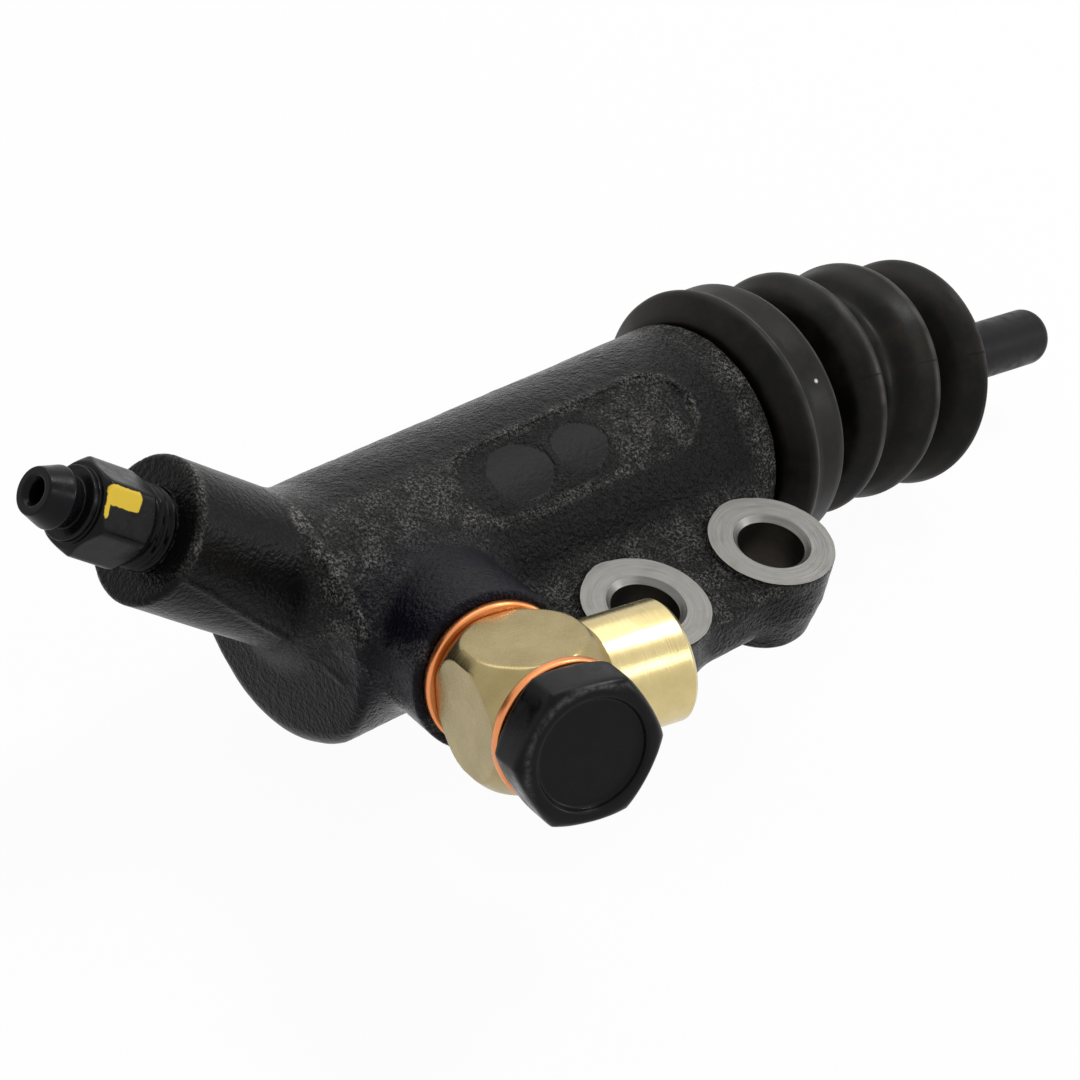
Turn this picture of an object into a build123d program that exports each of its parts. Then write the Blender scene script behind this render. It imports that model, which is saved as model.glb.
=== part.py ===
import math
import os
from build123d import *

os.makedirs("parts", exist_ok=True)

# Clutch slave cylinder. Millimetres. The origin lies midway between the two mounting holes, on
# their machined pads. +X runs along the bore towards the pushrod, +Y from the holes to the bore,
# +Z out of the pads.

# Mounting flange
hole_spacing = 22.0
hole_diameter = 8.5
hole_chamfer = 0.7
lug_radius = 8.0
spotface_radius = 9.1
pad_height = 6.0
flange_offset = 24.4
web_height = 5.0
web_depth = 2.9
web_overhang = 6.8
web_spread_rear = 12.0
web_spread_front = 1.5
lug_depth = 5.6
upper_draft = 5.0
lower_draft = 8.0
web_upper_round = 2.0
web_lower_round = 1.0
cast_fillet = 2.0

# Barrel and bore, measured along the bore from the inlet axis
inlet_to_holes = 30.5
bore_diameter = 20.64
barrel_diameter = 31.0
closed_end = 16.5
closed_end_round = 2.5
bore_bottom = 9.0
barrel_length = 53.5
nose_length = 8.5
nose_diameter = 28.0
nose_groove_width = 3.0
nose_groove_depth = 1.1
nose_groove_from_shoulder = 3.5
mouth_chamfer = 1.0
sliding_clearance = 0.05

# Shallow recess that the casting carries on its upper side
recess_length = 37.5
recess_width = 10.4
recess_depth = 0.5
recess_centre = 24.2
recess_angle = 18.5

# Inlet boss and the pipe connection
inlet_yaw = 16.2
inlet_rise = 19.6
inlet_boss_radius = 9.95
inlet_boss_length = 28.4
boss_edge_round = 0.6
bolt_thread_diameter = 12.0
thread_clearance = 0.05
port_bottom = 13.5
port_passage_diameter = 4.0
gasket_thickness = 1.3
inner_gasket_diameter = 17.8
outer_gasket_diameter = 17.2
gasket_bore = 12.4
gasket_round = 0.3

# Brass pipe union
union_across_flats = 16.0
union_length = 14.4
union_turned_diameter = 21.0
union_face_diameter = 16.2
union_chamfer_length = 4.1
union_bore = 12.4
union_groove_width = 6.0
union_groove_diameter = 14.0
spigot_diameter = 14.4
spigot_length = 17.9
spigot_chamfer = 0.6
pipe_thread_diameter = 9.0
pipe_thread_depth = 9.0
pipe_seat_diameter = 3.4

# Union bolt
bolt_across_flats = 17.0
bolt_head_height = 6.2
bolt_face_diameter = 16.2
bolt_chamfer_angle = 30.0
bolt_recess_diameter = 13.2
bolt_recess_depth = 0.6
bolt_turn = -4.0
bolt_bore = 5.2
bolt_waist_diameter = 10.6
bolt_waist_length = 8.0
bolt_cross_hole = 3.2

# Valve plate and its spring, in the bottom of the inlet port
plate_thickness = 0.7
plate_diameter = 10.4
plate_orifice = 1.6
plate_spring_length = 3.2
plate_spring_wire = 0.6
plate_spring_diameter = 7.6
plate_spring_coils = 2.5

# Bleed boss and bleed screw
bleed_yaw = 14.7
bleed_rise = 32.2
bleed_meets_bore = 5.8
bleed_boss_radius = 8.84
bleed_boss_length = 32.9
bleed_thread_diameter = 10.0
bleed_seat_depth = 14.4
bleed_passage_diameter = 3.2
bleed_seat_clearance = 0.1
bleed_exposed_thread = 3.1
bleed_across_flats = 10.0
bleed_hex_length = 7.8
bleed_hex_turn = 9.0
bleed_collar_diameter = 8.6
bleed_collar_length = 0.9
bleed_neck_diameter = 5.8
bleed_neck_length = 0.7
bleed_barb_diameter = 7.4
bleed_barb_rise = 1.4
bleed_tip_diameter = 5.5
bleed_tip_length = 2.9
bleed_screw_bore = 2.6
bleed_cross_hole = 1.8

# Piston and its two seals
pivot_from_mouth = 12.0
piston_skirt = 6.0
piston_length = 28.0
piston_front_land = 2.0
cup_length = 4.5
cup_groove_depth = 3.5
rear_seal_length = 3.5
rear_seal_groove_depth = 2.7
rear_land = 7.5
seal_lip_clearance = 0.04
seal_heel_clearance = 0.25
seal_lip_thickness = 0.9
seal_lip_depth = 2.0
piston_nose_length = 3.0
socket_clearance = 0.08
socket_mouth_diameter = 15.0

# Return spring
spring_wire = 1.4
spring_large_diameter = 18.6
spring_small_diameter = 10.8
spring_coils = 6
spring_clearance = 0.2
wire_sides = 8

# Pushrod, drooping in the piston's socket as it hangs in the boot
rod_diameter = 8.0
rod_length = 74.8
rod_droop = 7.0
droop_heading = 15.1
rod_tip_round = 2.2
rod_groove_depth = 0.5
rod_groove_from_neck = 1.2
rod_groove_past_neck = 0.4

# Dust boot
boot_clearance = 0.1
boot_wall = 1.2
boot_lip_radius = 18.7
boot_collar_radius = 17.6
boot_collar_length = 9.3
boot_collar_lip = 2.2
boot_fold_radius = 16.5
boot_fold_taper = 0.5
boot_fold_pitch = 11.3
boot_fold_count = 3
boot_fold_band = 1.2
boot_first_fold = 18.7
boot_valley_radius = 12.2
boot_bend_from_mouth = 0.5
boot_bend_length = 20.0
boot_bend_angle = 12.5
boot_neck_from_pivot = 48.6
boot_neck_radius = 6.6
boot_neck_length = 4.0
boot_shoulder_gap = 0.5

# How far a groove's cut runs past the surface it is turned in
cut_allowance = 1.0

# Values worked out from the sizes above
bore_radius = bore_diameter / 2
barrel_radius = barrel_diameter / 2
nose_radius = nose_diameter / 2
mouth = barrel_length + nose_length
pivot_station = mouth - pivot_from_mouth
boot_bend_start = mouth + boot_bend_from_mouth
rod_radius = rod_diameter / 2
hole_radius = hole_diameter / 2


def polar(yaw, rise):
    """Unit vector turned by yaw from -Y towards -X, then lifted by rise."""
    flat = math.cos(math.radians(rise))
    across = -math.sin(math.radians(yaw)) * flat
    along = -math.cos(math.radians(yaw)) * flat
    return Vector(across, along, math.sin(math.radians(rise)))


def lengthwise(plane):
    """Plane that holds the normal of the given plane as its own x direction."""
    return Plane(origin=plane.origin, x_dir=plane.z_dir, z_dir=plane.x_dir)


def centre_line(plane):
    """Axis along the normal of the given plane."""
    return Axis(plane.origin, plane.z_dir)


def outline(*points):
    """Closed straight-sided face in the sketch that is open."""
    Polygon(*points, align=None)


bore_start = Vector(-inlet_to_holes, flange_offset, -pad_height)
bore = Plane(origin=bore_start, x_dir=(0, 1, 0), z_dir=(1, 0, 0))

inlet_direction = polar(inlet_yaw, inlet_rise)
along_bore = Vector(1, 0, 0)
spigot_direction = along_bore - inlet_direction * along_bore.dot(inlet_direction)
inlet = Plane(origin=bore_start, x_dir=spigot_direction, z_dir=inlet_direction)

bleed_direction = polar(90 + bleed_yaw, bleed_rise)
bleed_start = bore_start - along_bore * bleed_meets_bore
bleed = Plane(origin=bleed_start, x_dir=bleed_direction.cross(Vector(0, 0, 1)), z_dir=bleed_direction)

sag = Vector(0, -math.sin(math.radians(droop_heading)), -math.cos(math.radians(droop_heading)))
sideways = along_bore.cross(sag)


def drooped(angle):
    """Direction of the bore tipped down by the angle in the plane that the rod droops in."""
    return along_bore * math.cos(math.radians(angle)) + sag * math.sin(math.radians(angle))


pivot = bore_start + along_bore * pivot_station
rod_axis = Plane(origin=pivot, x_dir=sideways, z_dir=drooped(rod_droop))

# Places along the inlet axis
bolt_tip = port_bottom + plate_spring_length + plate_thickness
union_start = inlet_boss_length + gasket_thickness
union_middle = union_start + union_length / 2
union_end = union_start + union_length
bolt_seat = union_end + gasket_thickness
port_radius = bolt_thread_diameter / 2

# Places along the bleed axis
bleed_seat = bleed_boss_length - bleed_seat_depth
bleed_hex_start = bleed_boss_length + bleed_exposed_thread
bleed_hex_end = bleed_hex_start + bleed_hex_length
bleed_port_radius = bleed_thread_diameter / 2

# Places along the bore
piston_rear = pivot_station + piston_skirt
piston_front = piston_rear - piston_length
piston_radius = bore_radius - sliding_clearance
groove_start = barrel_length + nose_groove_from_shoulder
groove_end = groove_start + nose_groove_width
groove_radius = nose_radius - nose_groove_depth

# Tool for the recess: an obround slug that stops above the recess floor
recess_plane = bore.rotated((recess_angle, 0, 0))
recess_top = Plane(origin=bore_start, x_dir=(1, 0, 0), z_dir=recess_plane.y_dir)
with BuildPart() as recess_slug:
    with BuildSketch(recess_top):
        with Locations((recess_centre, 0)):
            SlotOverall(recess_length, recess_width)
    extrude(amount=barrel_diameter)
    with BuildSketch(bore):
        Circle(barrel_radius - recess_depth)
    extrude(amount=recess_centre + recess_length, mode=Mode.SUBTRACT)

# Flange web between the lugs and the barrel, drafted both ways from the parting line
parting = Plane.XY.offset(-pad_height)
with BuildPart() as web:
    for rise, draft in ((web_height, upper_draft), (-web_depth, lower_draft)):
        with BuildSketch(parting):
            outline(
                (-hole_spacing / 2, 0),
                (hole_spacing / 2, 0),
                (hole_spacing / 2 + web_spread_front, flange_offset),
                (-hole_spacing / 2 - web_spread_rear, flange_offset),
            )
            offset(amount=web_overhang)
        extrude(amount=rise, taper=draft)
    fillet(web.faces().sort_by(Axis.Z)[-1].edges(), radius=web_upper_round)
    fillet(web.faces().sort_by(Axis.Z)[0].edges(), radius=web_lower_round)

# Cylinder body: one casting, then its machined faces and holes
with BuildPart() as cylinder_body:
    # Cast barrel with its rounded closed end
    with BuildSketch(bore.offset(-closed_end)):
        Circle(barrel_radius)
    extrude(amount=closed_end + barrel_length)
    end_edge = cylinder_body.edges().filter_by(GeomType.CIRCLE).sort_by(Axis.X)[0]
    fillet(end_edge, radius=closed_end_round)
    # Inlet boss and bleed boss, filleted into the barrel
    curved = (GeomType.BSPLINE, GeomType.ELLIPSE)
    bosses = ((inlet, inlet_boss_radius, inlet_boss_length), (bleed, bleed_boss_radius, bleed_boss_length))
    for plane, radius, length in bosses:
        with BuildSketch(plane):
            Circle(radius)
        extrude(amount=length)
        meets = cylinder_body.edges(Select.NEW).filter_by(lambda edge: edge.geom_type in curved)
        fillet(meets, radius=cast_fillet)
        boss_end = plane.origin + plane.z_dir * length
        rim = cylinder_body.edges().filter_by(GeomType.CIRCLE).sort_by_distance(boss_end)[0]
        fillet(rim, radius=boss_edge_round)
    add(recess_slug.part, mode=Mode.SUBTRACT)
    # Web, and lugs round the mounting holes
    add(web.part)
    for rise, draft in ((pad_height, 0), (-lug_depth, lower_draft)):
        with BuildSketch(parting):
            with Locations((-hole_spacing / 2, 0), (hole_spacing / 2, 0)):
                Circle(lug_radius)
        extrude(amount=rise, taper=draft)
    # Machined nose that carries the boot, with the groove for its bead
    with BuildSketch(bore.offset(barrel_length)):
        Circle(nose_radius)
    extrude(amount=nose_length)
    with BuildSketch(lengthwise(bore)):
        outline(
            (groove_start, groove_radius),
            (groove_end, groove_radius),
            (groove_end, nose_radius + cut_allowance),
            (groove_start, nose_radius + cut_allowance),
        )
    revolve(axis=centre_line(bore), mode=Mode.SUBTRACT)
    # Bore with a chamfered mouth
    with BuildSketch(lengthwise(bore)):
        outline(
            (-bore_bottom, 0),
            (-bore_bottom, bore_radius),
            (mouth - mouth_chamfer, bore_radius),
            (mouth, bore_radius + mouth_chamfer),
            (mouth, 0),
        )
    revolve(axis=centre_line(bore), mode=Mode.SUBTRACT)
    # Spot-faced pads and mounting holes
    with BuildSketch(Plane.XY):
        with Locations((-hole_spacing / 2, 0), (hole_spacing / 2, 0)):
            Circle(spotface_radius)
    extrude(amount=pad_height, mode=Mode.SUBTRACT)
    with Locations((-hole_spacing / 2, 0), (hole_spacing / 2, 0)):
        Hole(radius=hole_radius)
        Cone(hole_radius, hole_radius + hole_chamfer, hole_chamfer,
             align=(Align.CENTER, Align.CENTER, Align.MAX), mode=Mode.SUBTRACT)
    # Inlet port and its passage into the bore
    with BuildSketch(inlet.offset(port_bottom)):
        Circle(port_radius)
    extrude(amount=inlet_boss_length - port_bottom, mode=Mode.SUBTRACT)
    with BuildSketch(inlet):
        Circle(port_passage_diameter / 2)
    extrude(amount=port_bottom, mode=Mode.SUBTRACT)
    # Bleed port with its conical seat and passage
    with BuildSketch(lengthwise(bleed)):
        outline(
            (0, 0),
            (0, bleed_passage_diameter / 2),
            (bleed_seat, bleed_passage_diameter / 2),
            (bleed_seat + bleed_port_radius - bleed_passage_diameter / 2, bleed_port_radius),
            (bleed_boss_length, bleed_port_radius),
            (bleed_boss_length, 0),
        )
    revolve(axis=centre_line(bleed), mode=Mode.SUBTRACT)
cylinder_body.part.label = "cylinder_body"
export_step(cylinder_body.part, "parts/cylinder_body.step")


def gasket(start, diameter):
    """Flat crush washer on the inlet axis."""
    inner = gasket_bore / 2
    outer = diameter / 2
    with BuildPart() as ring:
        with BuildSketch(inlet.offset(start)):
            Circle(outer)
            Circle(inner, mode=Mode.SUBTRACT)
        extrude(amount=gasket_thickness)
        rim = ring.edges().filter_by(GeomType.CIRCLE).filter_by(lambda edge: edge.radius > inner + 1)
        chamfer(rim, length=gasket_round)
    return ring.part


inner_gasket = gasket(inlet_boss_length, inner_gasket_diameter)
inner_gasket.label = "inner_gasket"
export_step(inner_gasket, "parts/inner_gasket.step")

outer_gasket = gasket(union_end, outer_gasket_diameter)
outer_gasket.label = "outer_gasket"
export_step(outer_gasket, "parts/outer_gasket.step")

# Pipe union: square brass bar with turned corners, and a spigot for the pipe nut
spigot_start = inlet.origin + inlet_direction * union_middle
spigot = Plane(origin=spigot_start, x_dir=inlet_direction, z_dir=inlet.x_dir)
pipe_seat_depth = (pipe_thread_diameter - pipe_seat_diameter) / 2
with BuildPart() as pipe_union:
    with BuildSketch(inlet.offset(union_start)):
        Rectangle(union_across_flats, union_across_flats)
    extrude(amount=union_length)
    with BuildSketch(lengthwise(inlet)):
        outline(
            (union_start, 0),
            (union_start, union_face_diameter / 2),
            (union_start + union_chamfer_length, union_turned_diameter / 2),
            (union_end - union_chamfer_length, union_turned_diameter / 2),
            (union_end, union_face_diameter / 2),
            (union_end, 0),
        )
    revolve(axis=centre_line(inlet), mode=Mode.INTERSECT)
    with BuildSketch(lengthwise(spigot)):
        outline(
            (0, 0),
            (0, spigot_diameter / 2),
            (spigot_length - spigot_chamfer, spigot_diameter / 2),
            (spigot_length, spigot_diameter / 2 - spigot_chamfer),
            (spigot_length, 0),
        )
    revolve(axis=centre_line(spigot))
    # Bolt hole with the groove that leads fluid round the bolt
    with BuildSketch(inlet.offset(union_start)):
        Circle(union_bore / 2)
    extrude(amount=union_length, mode=Mode.SUBTRACT)
    with BuildSketch(inlet.offset(union_middle - union_groove_width / 2)):
        Circle(union_groove_diameter / 2)
    extrude(amount=union_groove_width, mode=Mode.SUBTRACT)
    # Pipe port with the cone that the flared pipe seals on
    with BuildSketch(lengthwise(spigot)):
        outline(
            (0, 0),
            (0, pipe_seat_diameter / 2),
            (spigot_length - pipe_thread_depth - pipe_seat_depth, pipe_seat_diameter / 2),
            (spigot_length - pipe_thread_depth, pipe_thread_diameter / 2),
            (spigot_length, pipe_thread_diameter / 2),
            (spigot_length, 0),
        )
    revolve(axis=centre_line(spigot), mode=Mode.SUBTRACT)
pipe_union.part.label = "pipe_union"
export_step(pipe_union.part, "parts/pipe_union.step")

# Union bolt: forged hexagon head, hollow shank with cross holes
bolt_end = bolt_seat + bolt_head_height
bolt_corner_radius = bolt_across_flats / math.sqrt(3)
bolt_chamfer_slope = math.tan(math.radians(bolt_chamfer_angle))
bolt_chamfer_fall = (bolt_corner_radius - bolt_face_diameter / 2) * bolt_chamfer_slope
bolt_thread_radius = port_radius - thread_clearance
with BuildPart() as union_bolt:
    with BuildSketch(inlet.offset(bolt_seat)):
        RegularPolygon(bolt_across_flats / 2, side_count=6, major_radius=False, rotation=bolt_turn)
    extrude(amount=bolt_head_height)
    with BuildSketch(lengthwise(inlet)):
        outline(
            (bolt_seat, 0),
            (bolt_seat, bolt_across_flats / 2),
            (bolt_seat + bolt_chamfer_fall, bolt_corner_radius),
            (bolt_end - bolt_chamfer_fall, bolt_corner_radius),
            (bolt_end, bolt_face_diameter / 2),
            (bolt_end, 0),
        )
    revolve(axis=centre_line(inlet), mode=Mode.INTERSECT)
    with BuildSketch(inlet.offset(bolt_end)):
        Circle(bolt_recess_diameter / 2)
    extrude(amount=-bolt_recess_depth, mode=Mode.SUBTRACT)
    with BuildSketch(lengthwise(inlet)):
        outline(
            (bolt_tip, 0),
            (bolt_tip, bolt_thread_radius),
            (union_middle - bolt_waist_length / 2, bolt_thread_radius),
            (union_middle - bolt_waist_length / 2, bolt_waist_diameter / 2),
            (union_middle + bolt_waist_length / 2, bolt_waist_diameter / 2),
            (union_middle + bolt_waist_length / 2, bolt_thread_radius),
            (bolt_seat, bolt_thread_radius),
            (bolt_seat, 0),
        )
    revolve(axis=centre_line(inlet))
    with BuildSketch(inlet.offset(bolt_tip)):
        Circle(bolt_bore / 2)
    extrude(amount=union_middle + bolt_cross_hole - bolt_tip, mode=Mode.SUBTRACT)
    with BuildSketch(spigot):
        Circle(bolt_cross_hole / 2)
    extrude(amount=bolt_thread_diameter, both=True, mode=Mode.SUBTRACT)
union_bolt.part.label = "union_bolt"
export_step(union_bolt.part, "parts/union_bolt.step")

# Valve plate under the tip of the union bolt
with BuildPart() as valve_plate:
    with BuildSketch(inlet.offset(port_bottom + plate_spring_length)):
        Circle(plate_diameter / 2)
        Circle(plate_orifice / 2, mode=Mode.SUBTRACT)
    extrude(amount=plate_thickness)
valve_plate.part.label = "valve_plate"
export_step(valve_plate.part, "parts/valve_plate.step")


def coil_spring(plane, start, length, wire, large, small, coils):
    """Coil on the plane's normal, tapering from the large to the small outer diameter."""
    rise = length - wire
    first = (large - wire) / 2
    last = (small - wire) / 2
    lean = math.degrees(math.atan2(last - first, rise))
    base = plane.offset(start + wire / 2)
    with BuildPart() as spring:
        with BuildLine() as path:
            Helix(rise / coils, rise, first, center=base.origin, direction=base.z_dir, cone_angle=lean)
        with BuildSketch(path.line ^ 0):
            RegularPolygon(wire / 2, side_count=wire_sides)
        sweep(path=path.line, is_frenet=True)
    return spring.part


valve_spring = coil_spring(
    inlet, port_bottom, plate_spring_length, plate_spring_wire,
    plate_spring_diameter, plate_spring_diameter, plate_spring_coils,
)
valve_spring.label = "valve_spring"
export_step(valve_spring, "parts/valve_spring.step")

# Bleed screw: conical tip, thread, hexagon, collar and hose nipple
screw_radius = bleed_port_radius - thread_clearance
screw_tip_radius = bleed_passage_diameter / 2 - bleed_seat_clearance
seat_shift = bleed_seat_clearance * math.sqrt(2)
screw_tip = bleed_seat + seat_shift - bleed_seat_clearance
collar_end = bleed_hex_end + bleed_collar_length
neck_end = collar_end + bleed_neck_length
barb_top = neck_end + bleed_barb_rise
nipple_end = barb_top + bleed_tip_length
bleed_corner_radius = bleed_across_flats / math.sqrt(3)
with BuildPart() as bleed_screw:
    with BuildSketch(bleed.offset(bleed_hex_start)):
        RegularPolygon(bleed_across_flats / 2, side_count=6, major_radius=False, rotation=bleed_hex_turn)
    extrude(amount=bleed_hex_length)
    with BuildSketch(lengthwise(bleed)):
        outline(
            (bleed_hex_start, 0),
            (bleed_hex_start, bleed_across_flats / 2),
            (bleed_hex_start + bleed_corner_radius - bleed_across_flats / 2, bleed_corner_radius),
            (bleed_hex_end - bleed_corner_radius + bleed_across_flats / 2, bleed_corner_radius),
            (bleed_hex_end, bleed_across_flats / 2),
            (bleed_hex_end, 0),
        )
    revolve(axis=centre_line(bleed), mode=Mode.INTERSECT)
    with BuildSketch(lengthwise(bleed)):
        outline(
            (screw_tip, 0),
            (screw_tip, screw_tip_radius),
            (screw_tip + screw_radius - screw_tip_radius, screw_radius),
            (bleed_hex_start, screw_radius),
            (bleed_hex_start, bleed_collar_diameter / 2),
            (collar_end, bleed_collar_diameter / 2),
            (collar_end, bleed_neck_diameter / 2),
            (neck_end, bleed_neck_diameter / 2),
            (barb_top, bleed_barb_diameter / 2),
            (nipple_end, bleed_tip_diameter / 2),
            (nipple_end, 0),
        )
    revolve(axis=centre_line(bleed))
    cross_station = screw_tip + screw_radius - screw_tip_radius + bleed_cross_hole
    with BuildSketch(bleed.offset(cross_station)):
        Circle(bleed_screw_bore / 2)
    extrude(amount=nipple_end - cross_station, mode=Mode.SUBTRACT)
    cross_origin = bleed.origin + bleed_direction * cross_station
    with BuildSketch(Plane(origin=cross_origin, x_dir=bleed_direction, z_dir=bleed.x_dir)):
        Circle(bleed_cross_hole / 2)
    extrude(amount=bleed_thread_diameter, both=True, mode=Mode.SUBTRACT)
bleed_screw.part.label = "bleed_screw"
export_step(bleed_screw.part, "parts/bleed_screw.step")

# Piston: nose for the spring, two seal grooves, socket for the pushrod
cup_start = piston_front + piston_front_land
cup_end = cup_start + cup_length
rear_seal_end = piston_rear - rear_land
rear_seal_start = rear_seal_end - rear_seal_length
cup_inner = piston_radius - cup_groove_depth
rear_seal_inner = piston_radius - rear_seal_groove_depth
piston_nose_radius = spring_small_diameter / 2 - spring_wire - spring_clearance
socket_radius = rod_radius + socket_clearance
with BuildPart() as piston:
    with BuildSketch(lengthwise(bore)):
        outline(
            (piston_front - piston_nose_length, 0),
            (piston_front - piston_nose_length, piston_nose_radius),
            (piston_front, piston_nose_radius),
            (piston_front, piston_radius),
            (cup_start, piston_radius),
            (cup_start, cup_inner),
            (cup_end, cup_inner),
            (cup_end, piston_radius),
            (rear_seal_start, piston_radius),
            (rear_seal_start, rear_seal_inner),
            (rear_seal_end, rear_seal_inner),
            (rear_seal_end, piston_radius),
            (piston_rear, piston_radius),
            (piston_rear, 0),
        )
    revolve(axis=centre_line(bore))
    with BuildSketch(lengthwise(bore)):
        outline(
            (pivot_station, 0),
            (pivot_station, socket_radius),
            (piston_rear, socket_mouth_diameter / 2),
            (piston_rear, 0),
        )
    revolve(axis=centre_line(bore), mode=Mode.SUBTRACT)
    with Locations(pivot):
        Sphere(socket_radius, mode=Mode.SUBTRACT)
piston.part.label = "piston"
export_step(piston.part, "parts/piston.step")


def lip_seal(start, end, inner):
    """Rubber seal that fills a piston groove, its lips open towards the pressure."""
    outer = bore_radius - seal_lip_clearance
    heel = bore_radius - seal_heel_clearance
    valley = start + seal_lip_depth
    with BuildPart() as seal:
        with BuildSketch(lengthwise(bore)):
            outline(
                (start, inner),
                (start, inner + seal_lip_thickness),
                (valley, (inner + outer) / 2),
                (start, outer - seal_lip_thickness),
                (start, outer),
                (end, heel),
                (end, inner),
            )
        revolve(axis=centre_line(bore))
    return seal.part


piston_cup = lip_seal(cup_start, cup_end, cup_inner)
piston_cup.label = "piston_cup"
export_step(piston_cup, "parts/piston_cup.step")

rear_seal = lip_seal(rear_seal_start, rear_seal_end, rear_seal_inner)
rear_seal.label = "rear_seal"
export_step(rear_seal, "parts/rear_seal.step")

# Return spring between the bottom of the bore and the piston
return_spring = coil_spring(
    bore, -bore_bottom, piston_front + bore_bottom - spring_clearance, spring_wire,
    spring_large_diameter, spring_small_diameter, spring_coils,
)
return_spring.label = "return_spring"
export_step(return_spring, "parts/return_spring.step")

# Pushrod: round inner end in the piston's socket, groove for the boot, rounded outer end
boot_neck_end = boot_neck_from_pivot + boot_neck_length
rod_groove_start = boot_neck_from_pivot + rod_groove_from_neck
rod_groove_end = boot_neck_end + rod_groove_past_neck
rod_groove_radius = rod_radius - rod_groove_depth
with BuildPart() as pushrod:
    with BuildSketch(rod_axis):
        Circle(rod_radius)
    extrude(amount=rod_length)
    tip_edge = pushrod.edges().filter_by(GeomType.CIRCLE).sort_by(Axis.X)[-1]
    fillet(tip_edge, radius=rod_tip_round)
    with Locations(pivot):
        Sphere(rod_radius)
    with BuildSketch(lengthwise(rod_axis)):
        outline(
            (rod_groove_start, rod_groove_radius),
            (rod_groove_end, rod_groove_radius),
            (rod_groove_end, rod_radius + cut_allowance),
            (rod_groove_start, rod_radius + cut_allowance),
        )
    revolve(axis=centre_line(rod_axis), mode=Mode.SUBTRACT)
pushrod.part.label = "pushrod"
export_step(pushrod.part, "parts/pushrod.step")


def boot_section(distance):
    """Plane across the boot at a distance along its centre line, which bends to follow the rod."""
    bent = min(max(distance - boot_bend_start, 0), boot_bend_length)
    straight = max(distance - boot_bend_start - boot_bend_length, 0)
    angle = boot_bend_angle * bent / boot_bend_length
    bend_radius = boot_bend_length / math.radians(boot_bend_angle)
    forward = bend_radius * math.sin(math.radians(angle))
    down = bend_radius * (1 - math.cos(math.radians(angle)))
    lead = min(distance, boot_bend_start)
    origin = bore_start + along_bore * (lead + forward) + sag * down + drooped(angle) * straight
    return Plane(origin=origin, x_dir=sideways, z_dir=drooped(angle))


def boot_skin(stations):
    """Solid through round sections, the last of them square to the pushrod."""
    with BuildPart() as skin:
        for section, radius in stations:
            with BuildSketch(section):
                Circle(radius)
        loft(ruled=True)
    return skin.part


# Dust boot: collar over the nose, folds, and a neck that grips the rod
boot_start = barrel_length + boot_shoulder_gap
boot_inner_radius = nose_radius + boot_clearance
collar_end_station = boot_start + boot_collar_length
first_fold = barrel_length + boot_first_fold
fold_stations = [first_fold + boot_fold_pitch * fold for fold in range(boot_fold_count)]
fold_radii = [boot_fold_radius - boot_fold_taper * fold for fold in range(boot_fold_count)]
neck_section = rod_axis.offset(boot_neck_from_pivot)
outer_stations = [
    (boot_section(boot_start), barrel_radius + boot_clearance),
    (boot_section(boot_start + boot_collar_lip), boot_lip_radius),
    (boot_section(boot_start + boot_collar_lip + boot_fold_band), boot_lip_radius),
    (boot_section(collar_end_station - boot_fold_band / 2), boot_collar_radius),
    (boot_section(collar_end_station), boot_collar_radius - boot_fold_band / 2),
]
inner_stations = [
    (boot_section(mouth - boot_wall), nose_radius - boot_wall / 2),
]
last_crest = collar_end_station
for fold_station, fold_radius in zip(fold_stations, fold_radii):
    valley_station = (last_crest + fold_station) / 2
    valley_section = boot_section(valley_station)
    outer_stations.append((valley_section, boot_valley_radius))
    inner_stations.append((valley_section, boot_valley_radius - boot_wall))
    outer_stations.append((boot_section(fold_station - boot_fold_band / 2), fold_radius))
    outer_stations.append((boot_section(fold_station + boot_fold_band / 2), fold_radius))
    inner_stations.append((boot_section(fold_station), fold_radius - boot_wall))
    last_crest = fold_station
outer_stations.append((neck_section, boot_neck_radius))
inner_stations.append((neck_section.offset(-boot_wall), rod_radius + boot_wall))
boot_outside = boot_skin(outer_stations)
boot_inside = boot_skin(inner_stations)

with BuildPart() as dust_boot:
    add(boot_outside)
    add(boot_inside, mode=Mode.SUBTRACT)
    with BuildSketch(neck_section):
        Circle(boot_neck_radius)
    extrude(amount=boot_neck_length)
    # Hole that slips over the nose, and the bead in the nose's groove
    with BuildSketch(lengthwise(bore)):
        outline(
            (boot_start, 0),
            (boot_start, boot_inner_radius),
            (groove_start + boot_clearance, boot_inner_radius),
            (groove_start + boot_clearance, groove_radius + boot_clearance),
            (groove_end - boot_clearance, groove_radius + boot_clearance),
            (groove_end - boot_clearance, boot_inner_radius),
            (mouth + boot_clearance, boot_inner_radius),
            (mouth + boot_clearance, 0),
        )
    revolve(axis=centre_line(bore), mode=Mode.SUBTRACT)
    # Hole round the rod, whose end sits in the rod's groove
    with BuildSketch(lengthwise(rod_axis)):
        outline(
            (boot_neck_from_pivot - boot_wall * 2, 0),
            (boot_neck_from_pivot - boot_wall * 2, rod_radius + boot_clearance),
            (rod_groove_start + boot_clearance, rod_radius + boot_clearance),
            (rod_groove_start + boot_clearance, rod_groove_radius + boot_clearance),
            (boot_neck_end, rod_groove_radius + boot_clearance),
            (boot_neck_end, 0),
        )
    revolve(axis=centre_line(rod_axis), mode=Mode.SUBTRACT)
dust_boot.part.label = "dust_boot"
export_step(dust_boot.part, "parts/dust_boot.step")
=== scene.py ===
import math

import bpy
import numpy as np
from mathutils import Matrix, Vector


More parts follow.
